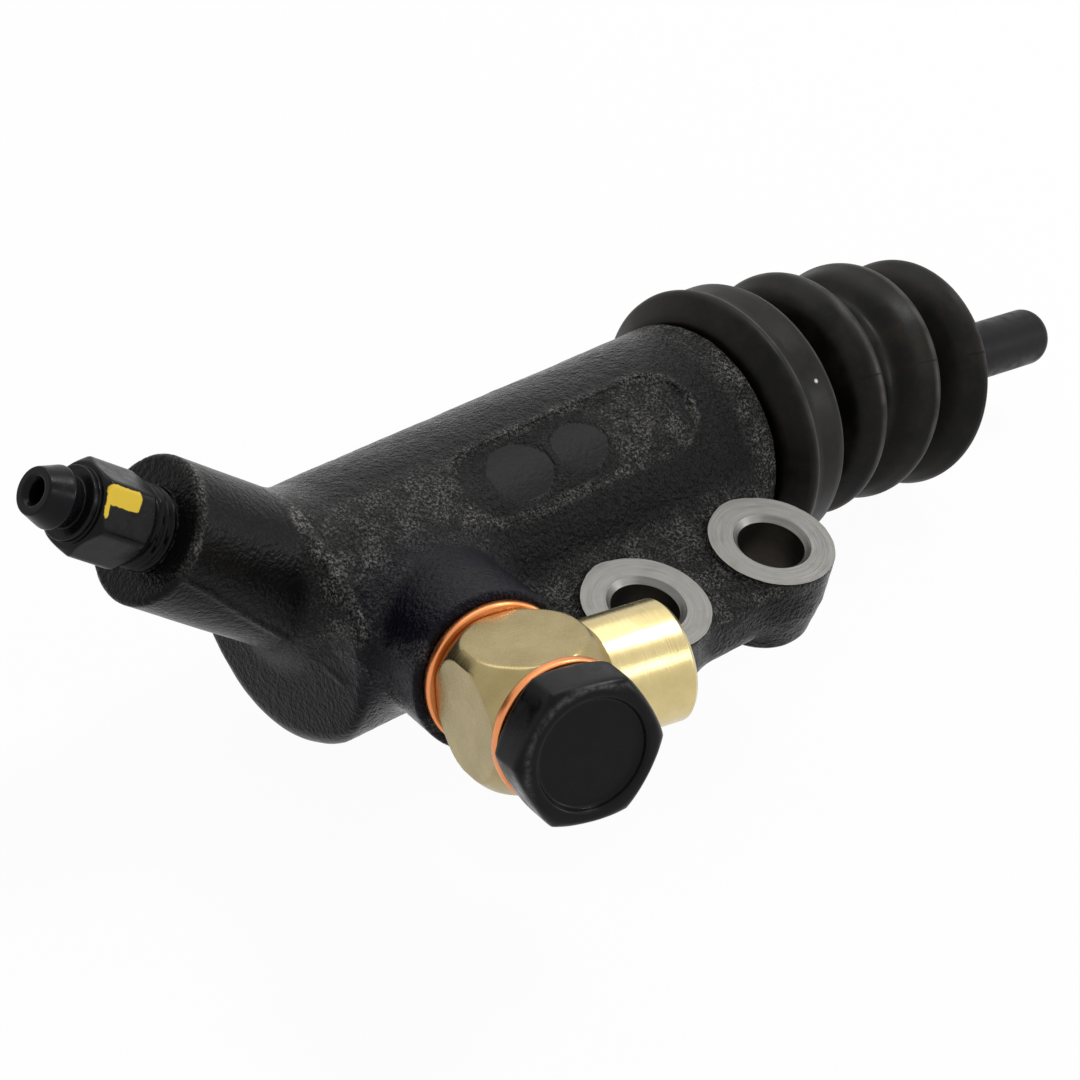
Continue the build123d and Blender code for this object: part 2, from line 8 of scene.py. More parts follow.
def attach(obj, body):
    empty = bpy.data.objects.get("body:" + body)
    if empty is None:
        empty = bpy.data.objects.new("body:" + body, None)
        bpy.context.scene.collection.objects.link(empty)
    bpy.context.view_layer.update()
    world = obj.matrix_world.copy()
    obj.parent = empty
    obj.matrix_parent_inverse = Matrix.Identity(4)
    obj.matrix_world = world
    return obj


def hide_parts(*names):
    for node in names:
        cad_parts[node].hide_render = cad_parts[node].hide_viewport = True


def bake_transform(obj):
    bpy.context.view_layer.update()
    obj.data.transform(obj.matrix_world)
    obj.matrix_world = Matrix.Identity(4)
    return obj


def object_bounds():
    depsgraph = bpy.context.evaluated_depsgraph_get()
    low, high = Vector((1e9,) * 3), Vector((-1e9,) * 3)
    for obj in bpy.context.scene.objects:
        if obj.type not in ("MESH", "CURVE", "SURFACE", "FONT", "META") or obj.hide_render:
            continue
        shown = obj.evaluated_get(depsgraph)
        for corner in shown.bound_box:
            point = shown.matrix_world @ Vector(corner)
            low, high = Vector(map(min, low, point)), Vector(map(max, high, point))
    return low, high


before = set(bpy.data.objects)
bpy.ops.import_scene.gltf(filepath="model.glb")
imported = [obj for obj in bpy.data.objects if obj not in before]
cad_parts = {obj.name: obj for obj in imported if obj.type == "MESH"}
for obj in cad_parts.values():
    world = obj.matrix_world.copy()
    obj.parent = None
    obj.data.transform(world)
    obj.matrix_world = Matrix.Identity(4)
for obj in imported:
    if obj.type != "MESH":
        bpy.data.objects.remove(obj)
cad_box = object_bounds()

# Lengths below are in millimetres in the part's own frame, and meshes are scaled to metres
mm = 0.001

# Camera, fitted to the photograph
camera_place = Vector((-255.21, -174.10, 255.00)) * mm
camera_azimuth = 51.823
camera_fall = 39.770
camera_roll = 13.879
camera_lens = 110.546

# Cast body
hole_half_spacing = 11.0
hole_radius = 4.25
hole_chamfer = 0.7
spotface_radius = 9.1
pad_height = 6.0
flange_offset = 24.4
lug_radius = 8.0
lug_depth = 5.6
web_overhang = 6.8
web_spread_rear = 12.0
web_spread_front = 1.5
web_height = 5.0
web_depth = 2.9
web_edge = 2.2
upper_draft = 5.0
lower_draft = 8.0
inlet_to_holes = 30.5
barrel_radius = 15.5
bore_radius = 10.32
closed_end = 16.5
closed_end_round = 1.2
closed_end_round_below = 3.2
barrel_end_round = 1.4
bore_bottom = 9.0
barrel_length = 53.5
mouth = 62.0
mouth_chamfer = 1.0
nose_radius = 14.0
nose_groove = (57.0, 60.0)
nose_groove_radius = 12.9
inlet_yaw = 16.2
inlet_rise = 19.6
inlet_boss_radius = 9.95
inlet_boss_length = 28.4
inlet_port_radius = 6.0
inlet_port_bottom = 13.5
inlet_passage_radius = 2.0
bleed_yaw = 14.7
bleed_rise = 32.2
bleed_meets_bore = 5.8
bleed_boss_radius = 8.84
bleed_boss_length = 32.9
bleed_port_radius = 5.0
bleed_passage_radius = 1.6
bleed_seat = 18.5
boss_edge = 0.6
inlet_fillet = 3.2
bleed_fillet = 2.8
flange_fillet = 3.0
lug_fillet = 1.6
recess_fillet = 0.5
recess_length = 37.5
recess_width = 10.4
recess_depth = 0.5
recess_centre = 24.2
recess_angle = 18.5
blank_spots = ((14.9, 5.3, 4.3), (24.7, 4.6, 3.6))
cast_step = 0.42
skin_sizes = (0.85, 1.5)
skin_depths = (0.035, 0.025)
wave_size = 5.0
wave_depth = 0.06
rings_per_metre = 4200.0
grooves_per_metre = 3500.0
# Stretches of the bleed boss's rim and of the closed end's rim where glints are painted, in degrees
bleed_rim_middle = -118.0
bleed_rim_spread = 48.0
end_rim_middle = 18.0
end_rim_spread = 36.0

# Parting line of the casting along the bleed boss and over the closed end, as points that it runs through
parting_line = (
    (-65.4, 22.9, 11.9), (-61.4, 21.9, 8.5), (-56.6, 20.8, 3.8), (-51.5, 19.8, -0.9), (-47.6, 17.9, -5.2),
    (-47.0, 12.6, -5.0),
)
parting_rise = 0.3
parting_half = 0.45

# Pipe union, gaskets and union bolt, measured along the inlet axis
gasket_thickness = 1.3
union_start = inlet_boss_length + gasket_thickness
union_length = 14.4
union_end = union_start + union_length
union_half_flats = 8.0
union_turned_radius = 10.5
union_face_radius = 8.1
union_chamfer = 4.1
union_bore = 6.2
spigot_radius = 7.2
spigot_length = 17.9
spigot_chamfer = 0.6
pipe_radius = 4.5
pipe_depth = 9.0
pipe_seat_radius = 1.7
bolt_seat = union_end + gasket_thickness
bolt_head = 6.2
bolt_half_flats = 8.5
bolt_face_radius = 8.1
bolt_chamfer_angle = 30.0
bolt_turn = 26.0
bolt_corner_wear = 0.3
bolt_wear_middle = 130.0
bolt_wear_spread = 75.0
bolt_recess_radius = 6.6
bolt_recess_depth = 0.85
bolt_shank_radius = 5.95
bolt_tip = 17.4
bolt_bore_radius = 2.6

# Bleed screw, measured along the bleed axis
screw_radius = 4.95
thread_pitch = 1.0
thread_depth = 0.5
hex_start = 36.0
hex_length = 7.8
hex_half_flats = 5.0
hex_turn = -21.0
hex_fall = 0.8
collar_radius = 4.3
collar_length = 0.9
neck_radius = 2.9
neck_length = 0.7
barb_radius = 3.7
barb_rise = 1.4
nipple_radius = 2.75
nipple_length = 2.9
screw_bore = 1.3
screw_tip_radius = 1.5
mouth_sink = 0.5

# Pushrod, from its pivot in the piston
pivot_station = 50.0
rod_radius = 4.0
rod_length = 74.8
rod_tip = 2.2
rod_droop = 7.0
droop_heading = 15.1
rod_groove = (49.8, 53.0)
rod_groove_radius = 3.5

# Return spring between the bottom of the bore and the piston
spring_start = -9.0
spring_end = 27.8
spring_wire = 1.4
spring_radii = (8.6, 4.7)
spring_coils = 6

# Dust boot, measured along its centre line from the inlet axis
boot_start = 54.0
boot_wall = 1.0
boot_bend_start = 62.5
boot_bend_length = 20.0
boot_bend_angle = 12.5
boot_folds = ((72.2, 16.5), (83.5, 16.0), (94.8, 15.5))
boot_valleys = (10.8, 12.3, 10.2)
boot_collar = (
    (0, 15.6), (0.5, 16.2), (1.9, 18.2), (2.4, 18.6), (3.0, 18.7), (3.6, 18.45), (3.9, 18.0), (4.3, 17.75),
    (5.4, 17.75), (7.6, 17.8), (8.7, 17.75), (9.3, 17.4), (9.7, 16.8),
)
boot_seat_end = 62.1
boot_wall_start = 63.5
boot_grip_radius = rod_radius + 0.1
boot_seam_angle = 150.7
boot_seam_radius = 17.0
boot_speck = (30.38, 13.46, 7.98)
boot_neck = 48.6
boot_neck_length = 4.0
boot_neck_radius = 6.6


def unit(vector):
    return vector / np.linalg.norm(vector)


def polar(yaw, rise):
    """Unit vector turned by yaw from -Y towards -X, then lifted by rise."""
    yaw, rise = math.radians(yaw), math.radians(rise)
    return np.array((-math.sin(yaw) * math.cos(rise), -math.cos(yaw) * math.cos(rise), math.sin(rise)))


class Place:
    """Origin in millimetres with three square directions, the last along the piece's axis."""

    def __init__(self, origin, axis, across):
        self.origin = np.array(origin, float)
        self.w = unit(np.array(axis, float))
        across = np.array(across, float)
        self.u = unit(across - self.w * across.dot(self.w))
        self.v = np.cross(self.w, self.u)

    def at(self, along):
        return self.origin + self.w * along


along_bore = np.array((1.0, 0.0, 0.0))
upward = np.array((0.0, 0.0, 1.0))
bore_start = np.array((-inlet_to_holes, flange_offset, -pad_height))
bore = Place(bore_start, along_bore, (0, 1, 0))
inlet = Place(bore_start, polar(inlet_yaw, inlet_rise), along_bore)
bleed_direction = polar(90 + bleed_yaw, bleed_rise)
bleed = Place(bore_start - along_bore * bleed_meets_bore, bleed_direction, np.cross(bleed_direction, upward))
spigot = Place(inlet.at(union_start + union_length / 2), inlet.u, inlet.w)
heading = math.radians(droop_heading)
sag = np.array((0.0, -math.sin(heading), -math.cos(heading)))
sideways = np.cross(along_bore, sag)


def drooped(angle):
    """Direction of the bore tipped down in the plane that the rod droops in."""
    return along_bore * math.cos(math.radians(angle)) + sag * math.sin(math.radians(angle))


pivot = bore.at(pivot_station)
rod = Place(pivot, drooped(rod_droop), sideways)


# Mesh helpers
def in_scene(name, data):
    """Object with the given data, linked into the scene."""
    made = bpy.data.objects.new(name, data)
    bpy.context.scene.collection.objects.link(made)
    return made


def make_object(name, points, faces, slots=(), face_slots=None, sharp_angle=35.0):
    """Object from points in millimetres, shaded smooth but for edges sharper than the angle."""
    mesh = bpy.data.meshes.new(name)
    mesh.from_pydata((np.asarray(points) * mm).tolist(), [], [list(face) for face in faces])
    mesh.validate()
    for material in slots:
        mesh.materials.append(material)
    if face_slots is not None:
        mesh.polygons.foreach_set("material_index", np.asarray(face_slots, np.int32))
    mesh.update()
    made = in_scene(name, mesh)
    smooth(made, sharp_angle)
    return made


def smooth(made, sharp_angle):
    mesh = made.data
    mesh.polygons.foreach_set("use_smooth", np.ones(len(mesh.polygons), bool))
    mesh.set_sharp_from_angle(angle=math.radians(sharp_angle))


def rounded(path, radius, steps=3):
    """The path with each inner corner turned into a short arc of the radius or less."""
    result = [path[0]]
    for before, corner, after in zip(path, path[1:], path[2:]):
        a, b, c = (np.array(point, float) for point in (before, corner, after))
        reach = min(radius, np.linalg.norm(a - b) * 0.45, np.linalg.norm(c - b) * 0.45)
        start, end = b + unit(a - b) * reach, b + unit(c - b) * reach
        for step in range(steps + 1):
            t = step / steps
            result.append(tuple((1 - t) ** 2 * start + 2 * t * (1 - t) * b + t * t * end))
    result.append(path[-1])
    return result


def refined(path, longest):
    """The path with extra points, so that no run is longer than given."""
    result = [path[0]]
    for before, after in zip(path, path[1:]):
        pieces = max(1, math.ceil(math.dist(before, after) / longest))
        for piece in range(1, pieces + 1):
            t = piece / pieces
            result.append(tuple((1 - t) * np.array(before) + t * np.array(after)))
    return result


def held(values):
    """The values held between none and one."""
    return np.clip(values, 0, 1)


def soft_least(a, b, blend):
    """The lesser of two values, rounded off where they are within blend of each other."""
    if blend <= 0:
        return np.minimum(a, b)
    share = np.maximum(blend - np.abs(a - b), 0) / blend
    return np.minimum(a, b) - share * share * blend / 4


def soft_most(a, b, blend):
    return -soft_least(-a, -b, blend)


def turned(place, path, segments=96, flats=None, half_flats=0.0, turn=0.0, edge=0.15, thread=None):
    """Points and faces of a turned form. Flats cut it to a polygon, and thread winds a groove on it."""
    path = np.array(path, float)
    angles = np.arange(segments) * 2 * math.pi / segments
    radii = np.repeat(path[:, 1:2], segments, axis=1)
    stations = np.repeat(path[:, 0:1], segments, axis=1)
    if thread:
        start, end, pitch, depth = thread
        wave = (stations / pitch - angles / (2 * math.pi)) % 1.0
        cut = held(1.6 * np.abs(2 * wave - 1) - 0.3)
        fade = held(np.minimum(stations - start, end - stations) / (pitch * 0.6))
        radii = radii - depth * cut * fade
    if flats:
        sector = 2 * math.pi / flats
        offset = (angles - math.radians(turn) + sector / 2) % sector - sector / 2
        wall = half_flats / np.cos(offset)
        radii = np.where(radii > half_flats * 0.7, soft_least(radii, wall[None, :], edge), radii)
    ring = np.cos(angles)[:, None] * place.u + np.sin(angles)[:, None] * place.v
    rows = []
    points = []
    for index in range(len(path)):
        if path[index, 1] < 1e-6:
            rows.append([len(points)])
            points.append(place.at(path[index, 0]))
            continue
        rows.append(list(range(len(points), len(points) + segments)))
        points.extend(place.at(path[index, 0]) + ring * radii[index][:, None])
    faces = []
    for low, high in zip(rows, rows[1:]):
        for k in range(segments):
            n = (k + 1) % segments
            if len(low) == 1:
                faces.append((low[0], high[n], high[k]))
            elif len(high) == 1:
                faces.append((low[k], low[n], high[0]))
            else:
                faces.append((low[k], low[n], high[n], high[k]))
    return points, faces


def carve(body, tool, operation="DIFFERENCE"):
    """Applies one exact boolean and removes the tool."""
    modifier = body.modifiers.new("carve", "BOOLEAN")
    modifier.operation = operation
    modifier.solver = "EXACT"
    modifier.object = tool
    graph = bpy.context.evaluated_depsgraph_get()
    carved = bpy.data.meshes.new_from_object(body.evaluated_get(graph))
    body.modifiers.remove(modifier)
    body.data = carved
    bpy.data.objects.remove(tool)


def lattice_noise(points, size, seed):
    """Smooth noise from -1 to 1 at the points, with cells of the given size."""
    scaled = points / size
    low = np.floor(scaled.min(axis=0)).astype(int) - 1
    extent = np.ceil(scaled.max(axis=0)).astype(int) - low + 2
    lattice = np.random.default_rng(seed).uniform(-1, 1, extent)
    cell = np.floor(scaled).astype(int)
    t = scaled - cell
    t = t * t * (3 - 2 * t)
    cell = cell - low
    total = 0
    for corner in np.ndindex(2, 2, 2):
        weight = 1
        for axis in range(3):
            weight = weight * (t[:, axis] if corner[axis] else 1 - t[:, axis])
        i, j, k = (cell + corner).T
        total = total + weight * lattice[i, j, k]
    return total


# Materials
def add_node(tree, kind, settings=None, **inputs):
    made = tree.nodes.new("ShaderNode" + kind)
    for key, value in (settings or {}).items():
        setattr(made, key, value)
    for key, value in inputs.items():
        by_number = key[0] == "i" and key[1:].isdigit()
        socket = made.inputs[int(key[1:]) if by_number else key.replace("_", " ")]
        if isinstance(value, bpy.types.NodeSocket):
            tree.links.new(value, socket)
        else:
            socket.default_value = value
    return made


def new_material(name, **inputs):
    material = bpy.data.materials.new(name)
    material.use_nodes = True
    tree = material.node_tree
    shader = tree.nodes["Principled BSDF"]
    for key, value in inputs.items():
        shader.inputs[key.replace("_", " ")].default_value = value
    return material, tree, shader


def coordinates(tree):
    return add_node(tree, "TexCoord").outputs["Object"]


def calc(tree, operation, first, second=0.0):
    return add_node(tree, "Math", {"operation": operation}, i0=first, i1=second).outputs[0]


def times(tree, *values):
    """Product of sockets and numbers."""
    product = values[0]
    for value in values[1:]:
        product = calc(tree, "MULTIPLY", product, value)
    return product


def attribute(tree, name):
    return add_node(tree, "Attribute", {"attribute_name": name}).outputs["Fac"]


def length_of(tree, first, second):
    """Length of the hypotenuse over two sockets."""
    squares = calc(tree, "ADD", times(tree, first, first), times(tree, second, second))
    return calc(tree, "SQRT", squares)


def noise(tree, vector, size, detail=3.0, rough=0.5):
    """Noise from 0 to 1 whose features are about size millimetres wide."""
    return add_node(
        tree, "TexNoise", None, Vector=vector, Scale=1 / (size * mm), Detail=detail, Roughness=rough
    ).outputs["Fac"]


def plain_noise(tree, vector, detail, rough=0.5):
    """Noise over a vector that is already scaled."""
    made = add_node(tree, "TexNoise", None, Vector=vector, Scale=1.0, Detail=detail, Roughness=rough)
    return made.outputs["Fac"]


def ramp(tree, value, low, high, start, end):
    """Value mapped from start..end to low..high, held at both ends."""
    return add_node(
        tree, "MapRange", None, Value=value, From_Min=start, From_Max=end, To_Min=low, To_Max=high
    ).outputs["Result"]


def mixed(tree, factor, first, second):
    """Colour between two, of which the first may be a socket."""
    first = first if isinstance(first, bpy.types.NodeSocket) else (*first, 1)
    return add_node(tree, "Mix", {"data_type": "RGBA"}, i0=factor, i6=first, i7=(*second, 1)).outputs[2]


def bump(tree, height, depth, before=None, strength=1.0):
    """Bump of depth millimetres, laid on another one if given."""
    inputs = {"Height": height, "Distance": depth * mm, "Strength": strength}
    if before is not None:
        inputs["Normal"] = before
    return add_node(tree, "Bump", None, **inputs).outputs["Normal"]


def link(tree, shader, **sockets):
    for key, value in sockets.items():
        tree.links.new(value, shader.inputs[key.replace("_", " ")])


def axis_coordinates(tree, place):
    """Along, across and round sockets of a piece with the given place, in millimetres."""
    shifted = add_node(
        tree, "VectorMath", {"operation": "SUBTRACT"}, i0=coordinates(tree), i1=tuple(place.origin * mm)
    ).outputs[0]

    def against(direction):
        settings = {"operation": "DOT_PRODUCT"}
        return add_node(tree, "VectorMath", settings, i0=shifted, i1=tuple(direction / mm)).outputs["Value"]

    return against(place.u), against(place.v), against(place.w)


def turned_marks(tree, place, size):
    """Fine lines that run round the place's axis."""
    u, v, w = axis_coordinates(tree, place)
    along = calc(tree, "DIVIDE", w, size)
    radius = calc(tree, "DIVIDE", length_of(tree, u, v), size)
    vector = add_node(tree, "CombineXYZ", None, X=along, Y=radius, Z=calc(tree, "ARCTAN2", v, u)).outputs[0]
    return plain_noise(tree, vector, 4.0, 0.6)


def cast_paint():
    """Glossy black paint on rough iron, smoother where finish is high, with painted blue sheen and glints.
    """
    material, tree, shader = new_material("cast_paint", Specular_IOR_Level=0.09)
    where = coordinates(tree)
    finish = attribute(tree, "finish")
    painted_glint = attribute(tree, "painted_glint")
    broad = noise(tree, where, 6.0, 2.0)
    grain = noise(tree, where, 0.6, 2.0, 0.55)
    fine = noise(tree, where, 0.28, 2.0, 0.6)
    colour = mixed(tree, broad, (0.003, 0.003, 0.0033), (0.007, 0.007, 0.0073))
    # Painted blue sheen: a reflection painted into the colour near the inlet boss
    share = times(tree, attribute(tree, "blue_sheen"), noise(tree, where, 3.0, 3.0))
    colour = mixed(tree, share, colour, (0.003, 0.003, 0.012))
    patchy = ramp(tree, noise(tree, where, 2.6, 3.0), 0.3, 1.0, 0.40, 0.6)
    # Painted glints: pale specks in the glint areas, standing in for highlights off the rough casting
    specks = ramp(tree, noise(tree, where, 0.34, 3.0, 0.8), 0.0, 1.0, 0.47, 0.70)
    painted_glints = times(tree, specks, painted_glint, patchy)
    colour = mixed(tree, painted_glints, colour, (0.26, 0.255, 0.235))
    colour = mixed(tree, ramp(tree, finish, 0.0, 1.0, 0.8, 0.95), colour, (0.014, 0.014, 0.014))
    depth = ramp(tree, finish, 1.0, 0.12, 0.0, 1.0)
    height = times(tree, grain, depth)
    small = times(tree, fine, calc(tree, "ADD", depth, painted_glint))
    surface = bump(tree, small, 0.15, bump(tree, height, 0.5))
    gloss = ramp(tree, noise(tree, where, 1.6, 3.0), 0.14, 0.26, 0.35, 0.65)
    gloss = calc(tree, "MAXIMUM", gloss, ramp(tree, finish, 0.1, 0.5, 0.6, 0.95))
    link(tree, shader, Base_Color=colour, Roughness=gloss, Normal=surface)
    return material


def machined_face():
    """Bare grey face with circular tool marks round each mounting hole."""
    material, tree, shader = new_material("machined_face", Metallic=0.9)
    where = add_node(tree, "SeparateXYZ", None, Vector=coordinates(tree))
    from_hole = calc(tree, "SUBTRACT", calc(tree, "ABSOLUTE", where.outputs["X"]), hole_half_spacing * mm)
    across = where.outputs["Y"]
    radius = length_of(tree, from_hole, across)
    angle = calc(tree, "ARCTAN2", across, from_hole)
    vector = add_node(tree, "CombineXYZ", None, X=times(tree, radius, rings_per_metre), Y=angle).outputs[0]
    rings = plain_noise(tree, vector, 4.0, 0.65)
    stain = noise(tree, coordinates(tree), 2.5, 4.0)
    colour = mixed(tree, rings, (0.10, 0.097, 0.088), (0.27, 0.265, 0.25))
    colour = mixed(tree, ramp(tree, stain, 0.0, 0.35, 0.5, 0.8), colour, (0.10, 0.09, 0.075))
    link(tree, shader, Base_Color=colour, Roughness=ramp(tree, rings, 0.32, 0.5, 0.3, 0.7))
    link(tree, shader, Normal=bump(tree, rings, 0.022))
    return material


def hole_wall():
    """Drilled wall, dark and slightly brown, with rings down its length."""
    material, tree, shader = new_material("hole_wall", Metallic=0.8)
    where = add_node(tree, "SeparateXYZ", None, Vector=coordinates(tree))
    down = times(tree, where.outputs["Z"], grooves_per_metre)
    rings = plain_noise(tree, add_node(tree, "CombineXYZ", None, Z=down).outputs[0], 3.0)
    patches = noise(tree, coordinates(tree), 2.0, 4.0)
    colour = mixed(tree, patches, (0.020, 0.016, 0.012), (0.055, 0.045, 0.036))
    link(tree, shader, Base_Color=colour, Roughness=ramp(tree, rings, 0.3, 0.55, 0.3, 0.7))
    link(tree, shader, Normal=bump(tree, rings, 0.02))
    return material


def bore_wall():
    """Honed grey wall of the bore and the ports."""
    material, tree, shader = new_material("bore_wall", Metallic=0.9)
    fine = noise(tree, coordinates(tree), 0.3, 3.0)
    link(tree, shader, Base_Color=mixed(tree, fine, (0.25, 0.25, 0.25), (0.38, 0.38, 0.37)))
    link(tree, shader, Roughness=ramp(tree, fine, 0.22, 0.38, 0.3, 0.7))
    return material


def brass(name, place, turned_share, base, dark, rough):
    """Brass with turning lines round the place's axis and a faint uneven patina."""
    material, tree, shader = new_material(name, Metallic=1.0)
    lines = turned_marks(tree, place, 0.16)
    patina = noise(tree, coordinates(tree), 4.0, 4.0, 0.6)
    colour = mixed(tree, ramp(tree, patina, 0.0, 1.0, 0.35, 0.7), base, dark)
    link(tree, shader, Base_Color=colour)
    link(tree, shader, Roughness=ramp(tree, lines, rough - 0.06, rough + 0.08, 0.3, 0.7))
    link(tree, shader, Normal=bump(tree, lines, 0.010 * turned_share))
    return material


def copper():
    """Bright copper with faint turning lines and uneven colour."""
    material, tree, shader = new_material("copper", Metallic=1.0)
    lines = turned_marks(tree, inlet, 0.12)
    patches = noise(tree, coordinates(tree), 2.0, 4.0)
    link(tree, shader, Base_Color=mixed(tree, patches, (0.72, 0.22, 0.07), (0.82, 0.34, 0.14)))
    link(tree, shader, Roughness=ramp(tree, lines, 0.22, 0.38, 0.3, 0.7))
    link(tree, shader, Normal=bump(tree, lines, 0.01))
    return material


def black_steel(name, wear=0.0, rough=0.32):
    """Black plated steel, with a worn lighter edge where wear is given."""
    material, tree, shader = new_material(name, Specular_IOR_Level=0.12)
    where = coordinates(tree)
    patches = noise(tree, where, 1.5, 4.0)
    colour = mixed(tree, patches, (0.004, 0.004, 0.005), (0.008, 0.008, 0.0095))
    if wear:
        broken = ramp(tree, noise(tree, where, 0.7, 4.0, 0.6), 0.2, 1.0, 0.40, 0.6)
        share = times(tree, attribute(tree, "edge"), broken, wear)
        colour = mixed(tree, share, colour, (0.16, 0.16, 0.155))
    link(tree, shader, Base_Color=colour)
    link(tree, shader, Roughness=ramp(tree, patches, rough - 0.08, rough + 0.1, 0.35, 0.65))
    link(tree, shader, Normal=bump(tree, noise(tree, where, 0.3, 4.0), 0.012))
    return material


def yellow_dab(material):
    """Adds the yellow stroke on one flat of the bleed screw, smeared along the flat's outer edge."""
    tree = material.node_tree
    shader = tree.nodes["Principled BSDF"]
    u, v, w = axis_coordinates(tree, bleed)
    turn = math.radians(dab_turn)
    across = calc(tree, "ADD", times(tree, u, -math.sin(turn)), times(tree, v, math.cos(turn)))
    outward = calc(tree, "ADD", times(tree, u, math.cos(turn)), times(tree, v, math.sin(turn)))
    uneven = calc(tree, "SUBTRACT", noise(tree, coordinates(tree), 0.7, 3.0), 0.5)
    ragged = times(tree, uneven, dab_raggedness)

    def past(value, middle, half):
        """How far the value lies beyond the half width round the middle, but for the stroke's rounding."""
        away = calc(tree, "ABSOLUTE", calc(tree, "SUBTRACT", value, middle))
        return calc(tree, "MAXIMUM", calc(tree, "SUBTRACT", away, half - dab_round), 0.0)

    def stroke(middle, half_length, beside, half_width):
        distance = length_of(tree, past(w, middle, half_length), past(across, beside, half_width))
        edge = calc(tree, "ADD", distance, ragged)
        return ramp(tree, edge, 1.0, 0.0, dab_round - 0.05, dab_round + 0.05)

    painted = calc(tree, "MAXIMUM", stroke(*dab_stroke), stroke(*dab_smear))
    mask = times(tree, painted, calc(tree, "GREATER_THAN", outward, dab_least_height))
    before = shader.inputs["Base Color"].links[0].from_socket
    link(tree, shader, Base_Color=mixed(tree, mask, before, (0.95, 0.66, 0.06)))


def rubber(name, rough=0.42):
    """Satin black moulded rubber with faint bloom."""
    material, tree, shader = new_material(name, Specular_IOR_Level=0.12)
    where = coordinates(tree)
    bloom = noise(tree, where, 5.0, 4.0)
    colour = mixed(tree, bloom, (0.003, 0.003, 0.003), (0.008, 0.007, 0.006))
    link(tree, shader, Base_Color=colour, Roughness=ramp(tree, bloom, rough - 0.06, rough + 0.1, 0.35, 0.65))
    link(tree, shader, Normal=bump(tree, noise(tree, where, 0.4, 3.0), 0.012))
    return material


def boot_marks(material):
    """Adds painted sheen on the flanks, painted crest highlights, the mould's seam and a pale speck on the
    collar.
    """
    tree = material.node_tree
    shader = tree.nodes["Principled BSDF"]
    where = coordinates(tree)
    colour = shader.inputs["Base Color"].links[0].from_socket
    # Painted brownish sheen on the outer part of each flank
    uneven = ramp(tree, noise(tree, where, 5.0, 4.0, 0.65), 0.0, 1.0, 0.42, 0.68)
    colour = mixed(tree, times(tree, attribute(tree, "flank_sheen"), uneven), colour, (0.019, 0.015, 0.011))
    # Painted highlights along the crests' edges
    broken = ramp(tree, noise(tree, where, 3.0, 3.0), 0.3, 1.0, 0.35, 0.65)
    colour = mixed(tree, times(tree, attribute(tree, "crest"), broken), colour, (0.085, 0.082, 0.077))
    seam = ramp(tree, attribute(tree, "off_seam"), 1.0, 0.0, 0.05, 0.2)
    colour = mixed(tree, seam, colour, (0.001, 0.001, 0.001))
    speck_place = tuple(Vector(boot_speck) * mm)
    shifted = add_node(tree, "VectorMath", {"operation": "SUBTRACT"}, i0=where, i1=speck_place)
    away = add_node(tree, "VectorMath", {"operation": "LENGTH"}, i0=shifted.outputs[0]).outputs["Value"]
    speck = ramp(tree, away, 1.0, 0.0, 0.15 * mm, 0.35 * mm)
    link(tree, shader, Base_Color=mixed(tree, speck, colour, (0.75, 0.72, 0.66)))


def plain_metal(name, light, dark, rough):
    """Bare metal of the inner pieces, faintly mottled."""
    material, tree, shader = new_material(name, Metallic=1.0)
    fine = noise(tree, coordinates(tree), 0.4, 4.0)
    link(tree, shader, Base_Color=mixed(tree, fine, dark, light))
    link(tree, shader, Roughness=ramp(tree, fine, rough - 0.06, rough + 0.08, 0.3, 0.7))
    link(tree, shader, Normal=bump(tree, fine, 0.01))
    return material


# Yellow stroke and its smear: middle and half length along the bleed axis, then across the flat
dab_turn = -141.0
dab_round = 0.7
dab_stroke = (41.1, 2.45, 1.5, 1.15)
dab_smear = (43.25, 0.32, 0.5, 1.9)
dab_raggedness = 0.35
dab_least_height = 3.4

paint = cast_paint()
machined = machined_face()
drilled = hole_wall()
honed = bore_wall()
boot_rubber = rubber("boot_rubber")
boot_marks(boot_rubber)
seal_rubber = rubber("seal_rubber", 0.5)
bolt_steel = black_steel("bolt_steel", wear=0.8, rough=0.30)
bleed_steel = black_steel("bleed_steel", rough=0.26)
yellow_dab(bleed_steel)
rod_steel = black_steel("rod_steel", rough=0.42)
spring_steel = plain_metal("spring_steel", (0.5, 0.5, 0.5), (0.35, 0.35, 0.36), 0.3)
piston_alloy = plain_metal("piston_alloy", (0.70, 0.70, 0.69), (0.55, 0.55, 0.54), 0.3)
copper_metal = copper()
# One brass, painted darker on the block as shade and lighter on the spigot as a highlight
shaded_brass_block = brass("shaded_brass_block", inlet, 1.0, (0.38, 0.305, 0.15), (0.31, 0.245, 0.113), 0.28)
lit_brass_spigot = brass("lit_brass_spigot", spigot, 1.3, (0.66, 0.54, 0.27), (0.56, 0.45, 0.21), 0.22)


# Cast body as a distance field
def round_bar(points, place, radius, start, end, edge):
    """Distance to a round bar with its end edges rounded."""
    relative = points - place.origin
    along = relative @ place.w
    beside = np.sqrt(np.maximum((relative * relative).sum(axis=-1) - along * along, 0)) - radius + edge
    past = np.maximum(start - along, along - end) + edge
    outside = np.hypot(np.maximum(beside, 0), np.maximum(past, 0))
    return outside + np.minimum(np.maximum(beside, past), 0) - edge


def distance_to_line(points, line):
    """Distance to the line through the given points."""
    nearest = np.full(points.shape[:-1], 1e9)
    for start, end in zip(line, line[1:]):
        run = np.subtract(end, start)
        relative = points - start
        share = held(relative @ run / run.dot(run))
        nearest = np.minimum(nearest, np.linalg.norm(relative - share[..., None] * run, axis=-1))
    return nearest


